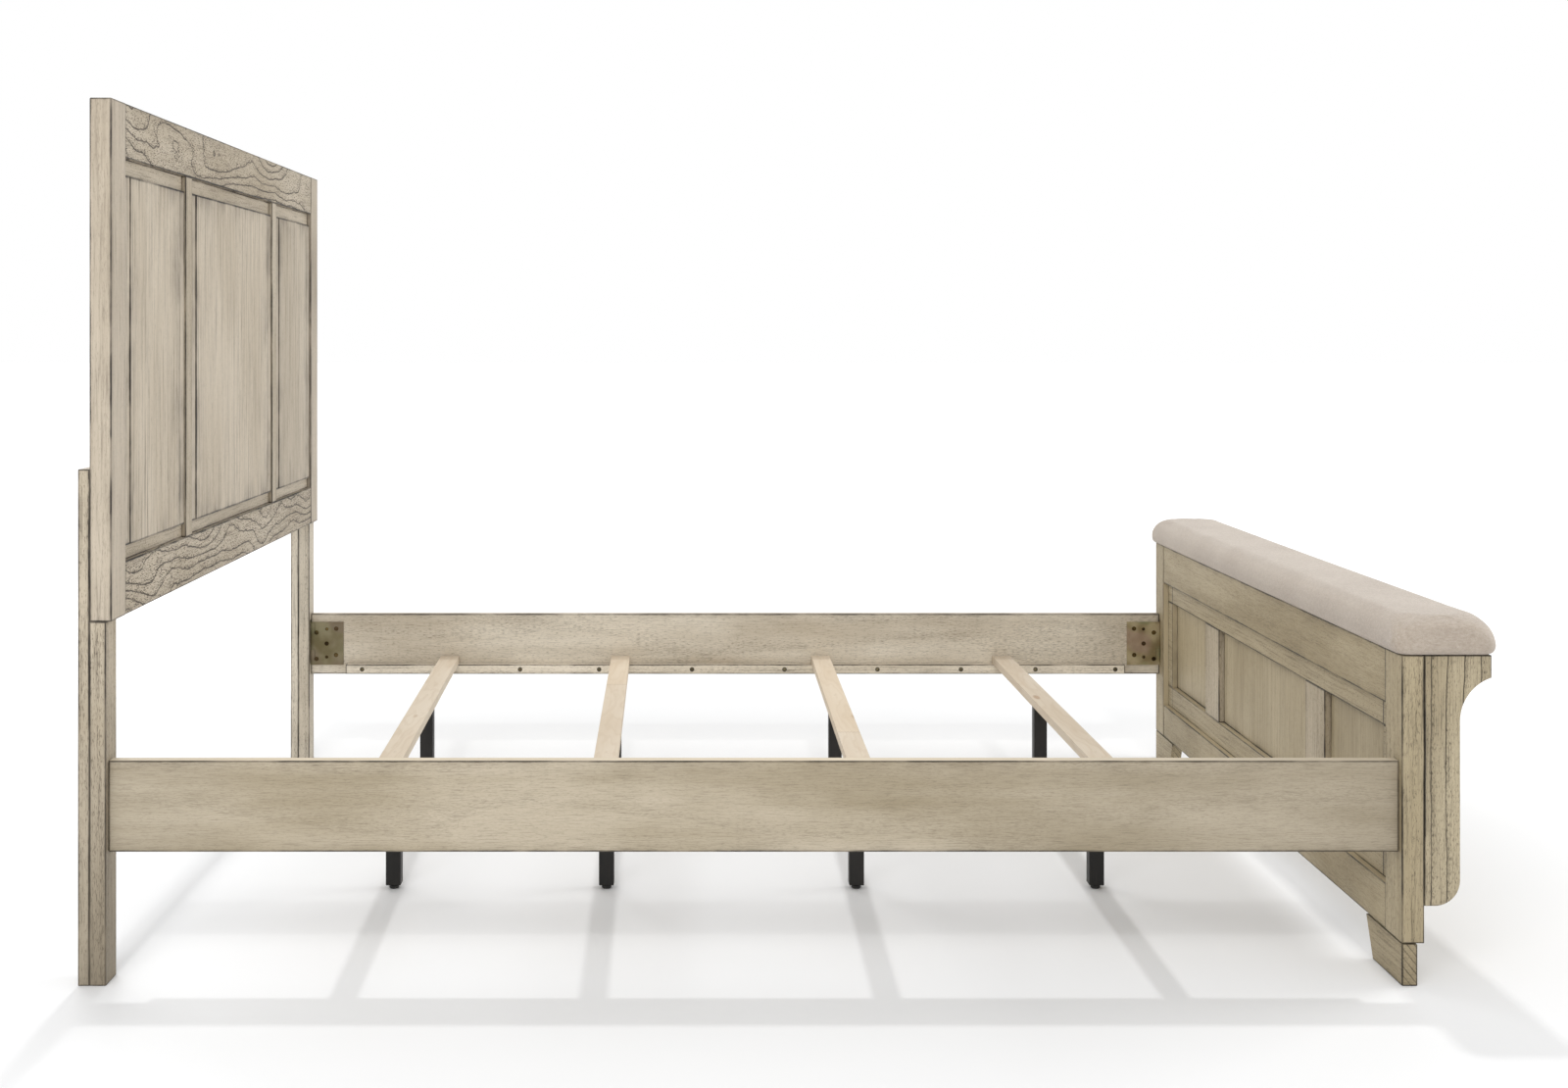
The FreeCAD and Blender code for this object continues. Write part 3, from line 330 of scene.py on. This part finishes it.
    # brown glaze left in the joints and along the edges
    if edge is None and lo is not None:
        edge = edge_distance(g, p, lo, hi, fold)
        if s.get("margin"):
            y = g.split(p)[1]
            for at in (lo[1] + s["margin"], hi[1] - s["margin"]):
                step_at = g.math("ADD", g.math("ABSOLUTE", g.math("SUBTRACT", y, at)), 0.0012)
                edge = g.math("MINIMUM", edge, step_at)
    elif edge is not None:
        edge = edge(g, p)
    if edge is not None:
        wobble = g.noise(g.vec("MULTIPLY", shifted, (9.0, 9.0, 9.0)), 3.0, 0.6)
        rough_edge = g.noise(g.vec("MULTIPLY", shifted, (60.0, 60.0, 60.0)), 2.0, 0.6)
        slim = s.get("slim", 0.0036)
        thin = g.smooth(edge, g.math("MULTIPLY", rough_edge, slim * 0.7), slim, 1.0, 0.0)
        thin = g.math("MULTIPLY", thin, g.smooth(wobble, 0.30, 0.60, 0.40, 1.0))
        wide = g.math("EXPONENT", g.math("DIVIDE", edge, -s["reach"]))
        wide = g.math("MULTIPLY", wide, g.smooth(wobble, 0.38, 0.68, 0.15, 1.0))
        wide = g.math("MULTIPLY", wide, g.smooth(fibre, 0.30, 0.66, 0.35, 1.0))
        colour = g.mix(g.math("MULTIPLY", wide, s["wide"], clamp=True), colour, glaze)
        black = tuple(c * 0.22 for c in glaze[:3]) + (1.0,)
        colour = g.mix(g.math("MULTIPLY", thin, s["edge"], clamp=True), colour, black)

    # painted highlight: faces turned one way are made paler, as if more strongly lit
    if s.get("worn"):
        nx, ny, nz = g.split(g.normal())
        facing = {"x": nx, "y": ny, "z": nz}
        for axis, sign in s["worn"]:
            share = g.smooth(g.math("MULTIPLY", facing[axis], sign), 0.75, 0.97)
            share = g.math("MULTIPLY", share, g.smooth(cloud, 0.25, 0.6, 0.55, 0.9))
            colour = g.mix(share, colour, tuple(min(1.0, c * 1.25) for c in light[:3]) + (1.0,))
    if s.get("rings_at"):
        rings, radius, hole = s["rings_at"]
        px, py, pz = g.split(p)
        near_ring = None
        for cx, cz in rings:
            away = g.vec("LENGTH", g.join(g.math("SUBTRACT", px, cx), 0.0,
                                          g.math("SUBTRACT", pz, cz)))
            near_ring = away if near_ring is None else g.math("MINIMUM", near_ring, away)
        colour = g.mix(g.smooth(near_ring, radius * 0.80, radius, hole, 0.0), colour,
                       linear(38, 29, 20))

    # painted shade: darker towards one end of a piece, where the light falls off
    for axis, start, end, shade_depth in fade:
        at = g.split(p)[AXES[axis]]
        share = g.smooth(at, min(start, end), max(start, end),
                         *((0.0, shade_depth) if start < end else (shade_depth, 0.0)))
        share = g.math("MULTIPLY", share, g.smooth(cloud, 0.25, 0.7, 0.75, 1.2))
        colour = g.mix(share, colour, painted_shade_colour)

    rough = g.math("ADD", g.math("MULTIPLY", fibre, 0.18), 0.46)
    rough = g.math("ADD", rough, g.math("MULTIPLY", pore, 0.12))
    height = g.math("MULTIPLY", fibre, 0.28)
    height = g.math("SUBTRACT", height, g.math("MULTIPLY", pore, s["pore"] * 0.9))
    if line is not None:
        height = g.math("SUBTRACT", height, g.math("MULTIPLY", line, s["line"] * 0.7))
    g.shade(Base_Color=colour, Roughness=rough, Normal=g.bump(height, 0.0004, 0.7))
    g.bsdf.inputs["Specular IOR Level"].default_value = 0.38
    return g.mat


def paint(name, materials_of):
    """Assign a material to every slot of a CAD node."""
    o = nodes[name]
    if not o.material_slots:
        o.data.materials.append(materials_of)
    for slot in o.material_slots:
        slot.material = materials_of


def board(name, grain, look="plain", tone="greige", seed=None, fold=False, **over):
    lo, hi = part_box(name)
    if fold:
        # a pair of boards mirrored about the middle: use the far one's limits
        ys = [abs(v.co.y) for v in nodes[name].data.vertices]
        lo, hi = Vector((lo.x, min(ys), lo.z)), Vector((hi.x, max(ys), hi.z))
    if seed is None:
        seed = board.count
        board.count += 1
    paint(name, wood("wood_" + name, grain, look, tone, seed, tuple(lo), tuple(hi), fold, **over))


board.count = 1

# the fade lists below darken a piece towards one end: painted shade where the light falls off
for side in ("near", "far"):
    board("headboard_%s_stile" % side, "z", "plain", "post", pore=0.22, blotch=0.75, slim=0.0036)
    tone = "greige" if side == "near" else "far"
    # painted shade: the near legs are darkened towards the floor
    shade_depth = 0.37 if side == "near" else 0.0
    board("headboard_%s_leg_block" % side, "z", "plain", tone, fade=[("z", 0.6, 0.1, shade_depth), ("z", 0.24, 0.02, shade_depth * 0.8)],
          pore=0.60)
    board("headboard_%s_leg_board" % side, "z", "plain", tone, fade=[("z", 0.6, 0.1, shade_depth * 0.9), ("z", 0.24, 0.02, shade_depth * 0.6)], pore=0.55)
    board("headboard_%s_panel" % side, "z", "panel", "field", margin=0.036,
          fade=[("y", 0.0, 0.5, 0.14)] if side == "far" else ())
board("headboard_centre_panel", "z", "panel", "field", margin=0.036)
board("headboard_top_rail", "y", "figured")
board("headboard_bottom_rail", "y", "figured")
board("headboard_mullions", "z", "plain", fold=True)
board("headboard_back_battens", "z", "plain", fold=True)
board("headboard_backing_board", "z", "panel", wide=0.2, fibre=0.7)
board("near_side_rail", "x", "rail", "side",
      fade=[("x", 0.0, 1.0, 0.30), ("x", -0.8, -1.05, 0.20)], worn=(("z", 1.0),))
board("far_side_rail", "x", "rail", "far", fade=[("x", 0.6, 1.0, 0.08), ("z", 0.33, 0.40, 0.12)],
      pore=0.38, dash=(90.0, 700.0), gate=0.555)
CLEAT_AT = tuple((x, 0.227) for x in (-0.966, -0.773, -0.580, -0.387, -0.160, 0.066, 0.293,
                                      0.497, 0.679, 0.874))
board("near_rail_cleat", "x", "plain", "pale", rings_at=(CLEAT_AT, 0.0062, 0.9))
board("far_rail_cleat", "x", "plain", "pale", rings_at=(CLEAT_AT, 0.0062, 0.9))

for side in ("near", "far"):
    board("footboard_%s_stile" % side, "z", "plain", "foot", pore=0.55, dash=(120.0, 1100.0),
          worn=(("y", -1.0),) if side == "far" else None)
    board("footboard_%s_panel" % side, "z", "panel", "foot", wide=0.55, reach=0.012, fibre=0.75,
          fade=[("x", 0.5, 0.9, 0.14)] if side == "near" else ())
    board("footboard_%s_corbel" % side, "z", "open", "corbel")
    board("footboard_%s_bracket_foot" % side, "y", "plain", "foot", line=0.70, per_metre=84.0,
          flat=2, lean=1.0, jag=0.0, warp=0.6, fade=[("z", 0.30, 0.12, 0.12)])
board("footboard_centre_panel", "z", "panel", "foot", wide=0.55, reach=0.012, fibre=0.75)
board("footboard_top_rail", "y", "rail", "foot")
board("footboard_bottom_rail", "y", "rail", "foot", worn=(("z", 1.0),))
board("footboard_mullions", "z", "plain", "midfoot", fold=True)
board("footboard_outer_board", "y", "rail", "foot")
board("cushion_seat_board", "y", "plain", "foot")


def bands_edge(g, p):
    x, y, z = g.split(p)
    y = g.math("ABSOLUTE", y)
    best = None
    for value, at in ((z, 0.673), (z, 0.6975), (z, 1.3095), (z, 1.338),
                      (y, 0.3245), (y, 0.3655), (y, 0.729)):
        d = g.math("ABSOLUTE", g.math("SUBTRACT", value, at))
        best = d if best is None else g.math("MINIMUM", best, d)
    return best


def inner_frame_edge(g, p):
    x, y, z = g.split(p)
    y = g.math("ABSOLUTE", y)
    best = None
    for value, at in ((z, 0.144), (z, 0.193), (z, 0.3965), (z, 0.441), (y, 0.691), (y, 0.731)):
        d = g.math("ABSOLUTE", g.math("SUBTRACT", value, at))
        best = d if best is None else g.math("MINIMUM", best, d)
    return best


paint("headboard_inner_bands", wood("wood_bands", "y", "plain", "greige", 31.0, edge=bands_edge))
# painted highlight on the inner frame's front and top faces
frame_wood = wood("wood_inner_frame", "y", "plain", "foot", 33.0, edge=inner_frame_edge, wide=0.2,
                  worn=(("y", -1.0), ("z", 1.0)))
paint("footboard_inner_frame", frame_wood)


# ------------------------------------------------------------------ raw slats
def raw_slat(name, seed, joint=None):
    g = Graph("raw_" + name)
    p = g.position()
    q = g.vec("ADD", p, (seed * 2.1, seed * 1.3, seed * 0.7))
    cloud = g.noise(g.vec("MULTIPLY", q, (14.0, 2.2, 14.0)), 3.0, 0.55)
    streak = g.noise(g.vec("MULTIPLY", q, (160.0, 4.0, 160.0)), 4.0, 0.6)
    ring = g.math("SINE", g.math("MULTIPLY_ADD", cloud, 60.0,
                                 g.vec("DOT_PRODUCT", q, (240.0, 6.0, 120.0))))
    colour = g.mix(g.smooth(cloud, 0.3, 0.7), linear(207, 195, 177), linear(197, 182, 161))
    colour = g.mix(g.math("MULTIPLY", g.smooth(ring, 0.1, 1.0), 0.22), colour,
                   linear(182, 163, 138))
    colour = g.mix(g.math("MULTIPLY", g.smooth(streak, 0.5, 0.8), 0.35), colour,
                   linear(188, 166, 140))
    knot = g.cells(g.vec("MULTIPLY", q, (12.0, 3.4, 12.0)), "F1")
    colour = g.mix(g.smooth(knot, 0.10, 0.05, 0.0, 0.55), colour, linear(150, 112, 76))
    if joint is not None:
        x, y, z = g.split(p)
        saw = g.math("ABSOLUTE", g.math("SUBTRACT", g.math("FRACT",
                     g.math("MULTIPLY", x, 160.0)), 0.5))
        zigzag = g.math("MULTIPLY_ADD", saw, 0.010, y)
        gap = g.math("ABSOLUTE", g.math("SUBTRACT", zigzag, joint))
        colour = g.mix(g.smooth(gap, 0.0006, 0.0022, 0.60, 0.0), colour, linear(140, 112, 80))
        shade = g.smooth(y, joint - 0.0005, joint + 0.0005)
        colour = g.mix(g.math("MULTIPLY", shade, 0.22), colour, linear(205, 184, 154))
    rough = g.math("MULTIPLY_ADD", streak, 0.2, 0.58)
    g.shade(Base_Color=colour, Roughness=rough,
            Normal=g.bump(streak, 0.0003, 0.5))
    g.bsdf.inputs["Specular IOR Level"].default_value = 0.25
    paint(name, g.mat)
    return g.mat


filled = raw_slat("slat_one", 1.0)
raw_slat("slat_two", 2.0, joint=0.40)
raw_slat("slat_three", 3.0, joint=-0.10)
raw_slat("slat_four", 4.0)


# ------------------------------------------------------------------ black legs and glides
def black_paint():
    g = Graph("black_paint")
    p = g.position()
    brush = g.noise(g.vec("MULTIPLY", p, (260.0, 260.0, 14.0)), 3.0, 0.6)
    cloud = g.noise(g.vec("MULTIPLY", p, (30.0, 30.0, 8.0)), 3.0, 0.55)
    colour = g.mix(g.smooth(cloud, 0.3, 0.7), linear(30, 29, 28), linear(40, 38, 36))
    colour = g.mix(g.math("MULTIPLY", g.smooth(brush, 0.55, 0.8), 0.35), colour, linear(70, 66, 60))
    g.shade(Base_Color=colour, Roughness=g.math("MULTIPLY_ADD", brush, 0.25, 0.40),
            Normal=g.bump(brush, 0.0003, 0.5))
    g.bsdf.inputs["Specular IOR Level"].default_value = 0.3
    return g.mat


def black_glide():
    g = Graph("black_glide")
    p = g.position()
    x, y, z = g.split(p)
    grain = g.noise(g.vec("MULTIPLY", p, (900.0, 900.0, 900.0)), 2.0, 0.6)
    # the stud above the moulded foot is plated steel
    stud = g.smooth(z, 0.0064, 0.0066)
    moulded = g.mix(g.smooth(grain, 0.35, 0.65), linear(30, 30, 30), linear(42, 41, 40))
    thread = g.math("SINE", g.math("MULTIPLY", z, 5000.0))
    # painted light and shade: the thread's ridges lighter, its roots darker
    steel = g.mix(g.smooth(thread, -0.6, 0.8), linear(96, 94, 88), linear(176, 172, 160))
    g.shade(Base_Color=g.mix(stud, moulded, steel), Metallic=stud,
            Roughness=g.math("MULTIPLY_ADD", grain, 0.2, 0.42),
            Normal=g.bump(g.math("MULTIPLY_ADD", g.math("MULTIPLY", thread, stud), 1.0,
                                 g.math("MULTIPLY", grain, 0.3)), 0.0003, 0.6))
    return g.mat


legs_material, glide_material = black_paint(), black_glide()
for name in nodes:
    if name.endswith("support_legs"):
        paint(name, legs_material)
    elif name.endswith("leveller"):
        paint(name, glide_material)


# ------------------------------------------------------------------ metal fittings
def zinc(name, base, dark, tint_a, tint_b, rough=0.34, strength=0.55, holes=()):
    """Yellow zinc plate: gold with green and violet interference clouds."""
    g = Graph(name)
    p = g.position()
    cloud = g.noise(g.vec("MULTIPLY", p, (22.0, 22.0, 22.0)), 2.0, 0.5)
    other = g.noise(g.vec("MULTIPLY", g.vec("ADD", p, (5.0, 3.0, 1.0)), (15.0, 15.0, 17.0)),
                    1.0, 0.4)
    speck = g.noise(g.vec("MULTIPLY", p, (420.0, 420.0, 420.0)), 3.0, 0.65)
    colour = g.mix(g.smooth(cloud, 0.36, 0.66), base, dark)
    colour = g.mix(g.math("MULTIPLY", g.smooth(other, 0.50, 0.66), strength), colour, tint_a)
    colour = g.mix(g.math("MULTIPLY", g.smooth(other, 0.48, 0.34), strength), colour, tint_b)
    colour = g.mix(g.math("MULTIPLY", g.smooth(speck, 0.55, 0.8), 0.4), colour, dark)
    if holes:
        x, y, z = g.split(p)
        colour = g.mix(g.smooth(x, 0.5, -0.5, 0.0, 0.62), colour, linear(70, 66, 44))
        near_hole = None
        for cx, cz, radius in holes:
            away = g.vec("LENGTH", g.join(g.math("SUBTRACT", x, cx), 0.0,
                                          g.math("SUBTRACT", z, cz)))
            away = g.math("SUBTRACT", away, radius)
            near_hole = away if near_hole is None else g.math("MINIMUM", near_hole, away)
        # painted shade: a dark ring inside each screw hole, the shade of the recess
        colour = g.mix(g.smooth(near_hole, -0.0004, 0.0010, 0.93, 0.0), colour,
                       linear(52, 38, 18))
    g.shade(Base_Color=colour, Metallic=1.0,
            Roughness=g.math("MULTIPLY_ADD", speck, 0.22, rough),
            Normal=g.bump(speck, 0.00015, 0.5))
    return g.mat


rail_lo, rail_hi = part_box("far_side_rail")
PLATE_HOLES = []
for across, up, radius in ((0.014, 0.079, 0.0050), (0.0625, 0.0885, 0.0050), (0.039, 0.052, 0.0050),
                           (0.062, 0.024, 0.0050), (0.014, 0.0145, 0.0050),
                           (0.0395, 0.0875, 0.0036), (0.039, 0.019, 0.0036)):
    PLATE_HOLES.append((rail_lo.x + 0.0003 + across, 0.235 + up, radius))
    PLATE_HOLES.append((rail_hi.x - 0.0003 - across, 0.235 + up, radius))
plate = zinc("yellow_zinc", linear(190, 178, 146), linear(146, 132, 100), linear(146, 168, 132),
             linear(178, 150, 144), holes=PLATE_HOLES, strength=0.45)
for name in ("near_rail_hook_brackets", "far_rail_hook_brackets", "post_hook_receivers",
             "support_leg_inserts"):
    paint(name, plate)
# the bracket screw heads are darkened: painted shade of the recesses they sit in
screw_yellow_shaded = zinc("yellow_screw_shaded", linear(104, 88, 54), linear(44, 34, 20),
                    linear(92, 96, 60), linear(96, 74, 60), 0.26, 0.4)
paint("bracket_screws", screw_yellow_shaded)
screw_plain = zinc("plain_screw", linear(128, 118, 92), linear(80, 72, 54),
                   linear(110, 108, 90), linear(100, 88, 70), 0.32, 0.25)
paint("cleat_screws", screw_plain)
# the slat screws are sunk and filled over with wood-coloured filler
paint("slat_screws", filled)


def black_bolt():
    g = Graph("black_bolt")
    p = g.position()
    speck = g.noise(g.vec("MULTIPLY", p, (700.0, 700.0, 700.0)), 3.0, 0.6)
    g.shade(Base_Color=g.mix(g.smooth(speck, 0.35, 0.7), linear(34, 34, 35), linear(58, 57, 56)),
            Metallic=0.7, Roughness=g.math("MULTIPLY_ADD", speck, 0.25, 0.3),
            Normal=g.bump(speck, 0.0001, 0.4))
    return g.mat


paint("headboard_leg_bolts", black_bolt())


# ------------------------------------------------------------------ cushion
def fabric():
    """Plain weave, close and matt, with soft slubs."""
    g = Graph("cushion_fabric")
    p = g.position()
    x, y, z = g.split(p)
    n = g.vec("ABSOLUTE", g.smooth_normal())
    nx, ny, nz = g.split(n)
    pitch = 0.00115
    wave = {}
    for key, value in (("x", x), ("y", y), ("z", z)):
        wave[key] = g.math("SINE", g.math("MULTIPLY", value, math.pi / pitch))

    def weave(a, b):
        over = g.smooth(g.math("MULTIPLY", wave[a], wave[b]), -0.15, 0.15)
        warp = g.math("ABSOLUTE", wave[a])
        weft = g.math("ABSOLUTE", wave[b])
        return g.math("ADD", g.math("MULTIPLY", warp, over),
                      g.math("MULTIPLY", weft, g.math("SUBTRACT", 1.0, over)))

    top, side, end = weave("x", "y"), weave("y", "z"), weave("x", "z")
    wx, wy, wz = (g.math("POWER", v, 5.0) for v in (nx, ny, nz))
    total = g.math("ADD", g.math("ADD", wx, wy), wz)
    woven = g.math("ADD", g.math("ADD", g.math("MULTIPLY", top, wz), g.math("MULTIPLY", side, wx)),
                   g.math("MULTIPLY", end, wy))
    woven = g.math("DIVIDE", woven, total)
    slub = g.noise(g.vec("MULTIPLY", p, (520.0, 90.0, 520.0)), 3.0, 0.6)
    slub_b = g.noise(g.vec("MULTIPLY", g.vec("ADD", p, (3.0, 1.0, 2.0)), (90.0, 520.0, 300.0)),
                     3.0, 0.6)
    cloud = g.noise(g.vec("MULTIPLY", p, (7.0, 5.0, 7.0)), 3.0, 0.5)
    colour = g.mix(g.smooth(cloud, 0.3, 0.72), linear(187, 175, 161), linear(175, 162, 148))
    mottle = g.noise(g.vec("MULTIPLY", p, (150.0, 240.0, 200.0)), 4.0, 0.7)
    colour = g.mix(g.math("MULTIPLY", g.smooth(mottle, 0.46, 0.72), 0.38), colour,
                   linear(150, 136, 121))
    colour = g.mix(g.math("MULTIPLY", g.smooth(mottle, 0.50, 0.28), 0.38), colour,
                   linear(206, 195, 182))
    colour = g.mix(g.math("MULTIPLY", g.smooth(slub, 0.48, 0.78), 0.35), colour,
                   linear(142, 128, 114))
    colour = g.mix(g.math("MULTIPLY", g.smooth(slub_b, 0.48, 0.78), 0.35), colour,
                   linear(206, 196, 185))
    # painted shade in the hollows between the threads
    colour = g.mix(g.smooth(woven, 0.75, 0.15, 0.0, 0.35), colour, linear(116, 102, 90))
    height = g.math("ADD", woven, g.math("MULTIPLY", slub, 0.5))
    g.shade(Base_Color=colour, Roughness=g.math("MULTIPLY_ADD", slub, 0.15, 0.78),
            Normal=g.bump(height, 0.00035, 0.6))
    g.bsdf.inputs["Specular IOR Level"].default_value = 0.15
    g.bsdf.inputs["Sheen Weight"].default_value = 0.35
    g.bsdf.inputs["Sheen Roughness"].default_value = 0.5
    return g.mat


def cushion_shape(name, inset):
    """A long upholstered top: tight corners where the cover is pulled round the
    board below, rounder and drawn in towards the crowned top."""
    x0, x1 = 0.9710 + inset, 1.1452 - inset
    half = 0.8180 - inset
    z0, z1 = 0.5314, 0.5915 - inset
    centre_x, half_x = (x0 + x1) / 2, (x1 - x0) / 2

    def outline(draw, corner):
        """Points round the plan, the same number whatever its corners."""
        hx, hy = half_x - draw, half - draw
        corner = min(corner, hx * 0.98)
        points = []
        runs = ((hx - corner, hy - corner, 0), (-(hx - corner), hy - corner, 90),
                (-(hx - corner), -(hy - corner), 180), (hx - corner, -(hy - corner), 270))
        for i, (cx, cy, start) in enumerate(runs):
            for k in range(17):
                a = math.radians(start + 90.0 * k / 16)
                points.append((cx + corner * math.cos(a), cy + corner * math.sin(a)))
            nx, ny, nstart = runs[(i + 1) % 4]
            a = math.radians(nstart)
            end = (nx + corner * math.cos(a), ny + corner * math.sin(a))
            begin = points[-1]
            parts = 120 if i % 2 else 8
            for k in range(1, parts):
                t = k / parts
                points.append((begin[0] + (end[0] - begin[0]) * t,
                               begin[1] + (end[1] - begin[1]) * t))
        return points

    rise = z1 - z0
    # height share, distance drawn in, corner radius in plan
    profile = [(0.0, 0.0130, 0.014), (0.025, 0.0088, 0.017), (0.07, 0.0048, 0.020),
               (0.13, 0.0020, 0.023), (0.21, 0.0005, 0.026), (0.31, 0.0, 0.029)]
    for k in range(1, 11):
        a = math.radians(90.0 * k / 10)
        profile.append((0.31 + 0.69 * math.sin(a), 0.032 * (1 - math.cos(a)) ** 1.25,
                        0.029 + 0.023 * math.sin(a) ** 1.5))
    bm = bmesh.new()
    rings = []
    for share, draw, corner in profile:
        rings.append([bm.verts.new((centre_x + px, py, z0 + rise * share))
                      for px, py in outline(draw, corner)])
    count = len(rings[0])
    for lower, upper in zip(rings, rings[1:]):
        for i in range(count):
            j = (i + 1) % count
            bm.faces.new((lower[i], lower[j], upper[j], upper[i]))
    bm.faces.new(list(reversed(rings[0])))
    bm.faces.new(rings[-1])
    bmesh.ops.recalc_face_normals(bm, faces=bm.faces)
    mesh = bpy.data.meshes.new(name)
    bm.to_mesh(mesh)
    bm.free()
    return mesh


def only(o):
    for other in bpy.context.view_layer.objects:
        other.select_set(False)
    o.select_set(True)
    bpy.context.view_layer.objects.active = o


def swell(o, voxel, cap, floor_z):
    """Inflate the stuffed cover a little, then limit how far any point may move."""
    only(o)
    mod = o.modifiers.new("even", "REMESH")
    mod.mode = "VOXEL"
    mod.voxel_size = voxel
    bpy.ops.object.modifier_apply(modifier=mod.name)
    rest = [v.co.copy() for v in o.data.vertices]
    group = o.vertex_groups.new(name="held")
    held = [v.index for v in o.data.vertices if v.co.z < floor_z + 0.006]
    group.add(held, 1.0, "REPLACE")
    cloth = o.modifiers.new("cloth", "CLOTH")
    settings = cloth.settings
    settings.quality = 5
    settings.mass = 0.3
    settings.tension_stiffness = 18
    settings.compression_stiffness = 18
    settings.shear_stiffness = 8
    settings.bending_stiffness = 0.6
    settings.use_pressure = True
    settings.uniform_pressure_force = 4.0
    settings.vertex_group_mass = "held"
    settings.effector_weights.gravity = 0.0
    cloth.collision_settings.use_collision = False
    cloth.point_cache.frame_start = 1
    cloth.point_cache.frame_end = 20
    for f in range(1, 21):
        scene.frame_set(f)
    bpy.ops.object.modifier_apply(modifier=cloth.name)
    scene.frame_set(1)
    for v, start in zip(o.data.vertices, rest):
        move = v.co - start
        if move.length > cap:
            v.co = start + move * (cap / move.length)
        if v.co.z < floor_z:
            v.co.z = floor_z


cushion = bpy.data.objects.new("footboard_cushion_cover", cushion_shape("cushion_cover", 0.0015))
scene.collection.objects.link(cushion)
swell(cushion, 0.0050, 0.0030, 0.5312)
only(cushion)
relax = cushion.modifiers.new("relax", "SMOOTH")
relax.factor = 0.5
relax.iterations = 2
bpy.ops.object.modifier_apply(modifier=relax.name)
fine = cushion.modifiers.new("fine", "SUBSURF")
fine.levels = fine.render_levels = 1
bpy.ops.object.modifier_apply(modifier=fine.name)
for face in cushion.data.polygons:
    face.use_smooth = True
cushion.data.materials.append(fabric())
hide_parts("footboard_cushion")
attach(cushion, "frame")

# ------------------------------------------------------------------ floor
floor_mesh = bpy.data.meshes.new("studio_floor")
reach = 60.0
floor_mesh.from_pydata([(-reach, -reach, 0), (reach, -reach, 0), (reach, reach, 0),
                        (-reach, reach, 0)], [], [(0, 1, 2, 3)])
floor = bpy.data.objects.new("studio_floor", floor_mesh)
scene.collection.objects.link(floor)
fg = Graph("studio_floor")
fp = fg.position()
faint = fg.noise(fg.vec("MULTIPLY", fp, (1.4, 1.4, 1.4)), 3.0, 0.5)
floor_colour = fg.mix(faint, (0.765, 0.769, 0.775, 1.0), (0.785, 0.789, 0.795, 1.0))
away = fg.vec("LENGTH", fp)
# painted shade: the floor is darker near the bed and whitens further out
floor_colour = fg.mix(fg.smooth(away, 1.25, 3.3), floor_colour, (0.99, 0.99, 0.99, 1.0))
# painted light: the floor further out glows a little, so it reaches full white
fg.shade(Base_Color=floor_colour, Roughness=0.55,
         Emission_Strength=fg.smooth(away, 3.0, 7.5, 0.0, 0.20))
fg.bsdf.inputs["Emission Color"].default_value = (1.0, 1.0, 1.0, 1.0)
fg.bsdf.inputs["Specular IOR Level"].default_value = 0.25
floor.data.materials.append(fg.mat)

# ------------------------------------------------------------------ light
world = bpy.data.worlds.new("studio")
scene.world = world
world.use_nodes = True
background = next(n for n in world.node_tree.nodes if n.type == "BACKGROUND")
background.inputs["Color"].default_value = (1.0, 1.0, 1.0, 1.0)
# the white backdrop is seen at full white and lights the room a little less
path = world.node_tree.nodes.new("ShaderNodeLightPath")
level = world.node_tree.nodes.new("ShaderNodeMath")
level.operation = "MULTIPLY_ADD"
level.inputs[1].default_value = 0.30
level.inputs[2].default_value = 0.70
world.node_tree.links.new(path.outputs["Is Camera Ray"], level.inputs[0])
world.node_tree.links.new(level.outputs[0], background.inputs["Strength"])


def sun(name, towards, strength, angle):
    data = bpy.data.lights.new(name, "SUN")
    data.energy = strength
    data.angle = math.radians(angle)
    o = bpy.data.objects.new(name, data)
    scene.collection.objects.link(o)
    o.rotation_euler = Vector(towards).to_track_quat("-Z", "Y").to_euler()
    return o


def softbox(name, at, target, size, power):
    data = bpy.data.lights.new(name, "AREA")
    data.shape = "RECTANGLE"
    data.size, data.size_y = size
    data.energy = power
    o = bpy.data.objects.new(name, data)
    scene.collection.objects.link(o)
    o.location = at
    o.rotation_euler = (Vector(target) - Vector(at)).to_track_quat("-Z", "Y").to_euler()
    return o


sun("overhead_back", (0.0, -0.51, -1.0), 0.68, 3.0)
sun("front_fill", (0.0, 1.15, -1.0), 0.37, 3.0)
softbox("front_left_box", (-1.3, -4.3, 3.3), (-0.3, 0.0, 0.8), (2.6, 1.8), 74.0)
softbox("right_box", (4.4, 0.6, 2.6), (-1.1, 0.0, 0.9), (2.2, 1.6), 86.0)
softbox("back_left_box", (-3.2, 3.2, 2.8), (1.0, 0.5, 0.3), (3.2, 2.4), 66.0)

# ------------------------------------------------------------------ camera
camera_data = bpy.data.cameras.new("camera")
camera = bpy.data.objects.new("camera", camera_data)
scene.collection.objects.link(camera)
camera.location = (-0.1415, -3.787, 1.0499)
camera.rotation_euler = (math.radians(90), 0, 0)
camera_data.sensor_width = 36.0
camera_data.lens = 1894.5 / 1600.0 * 36.0
camera_data.shift_x = (800.0 - 713.86) / 1600.0
camera_data.shift_y = (339.23 - 555.0) / 1600.0
camera_data.clip_end = 200.0
scene.camera = camera
scene.view_settings.view_transform = "Standard"
scene.view_settings.look = "None"
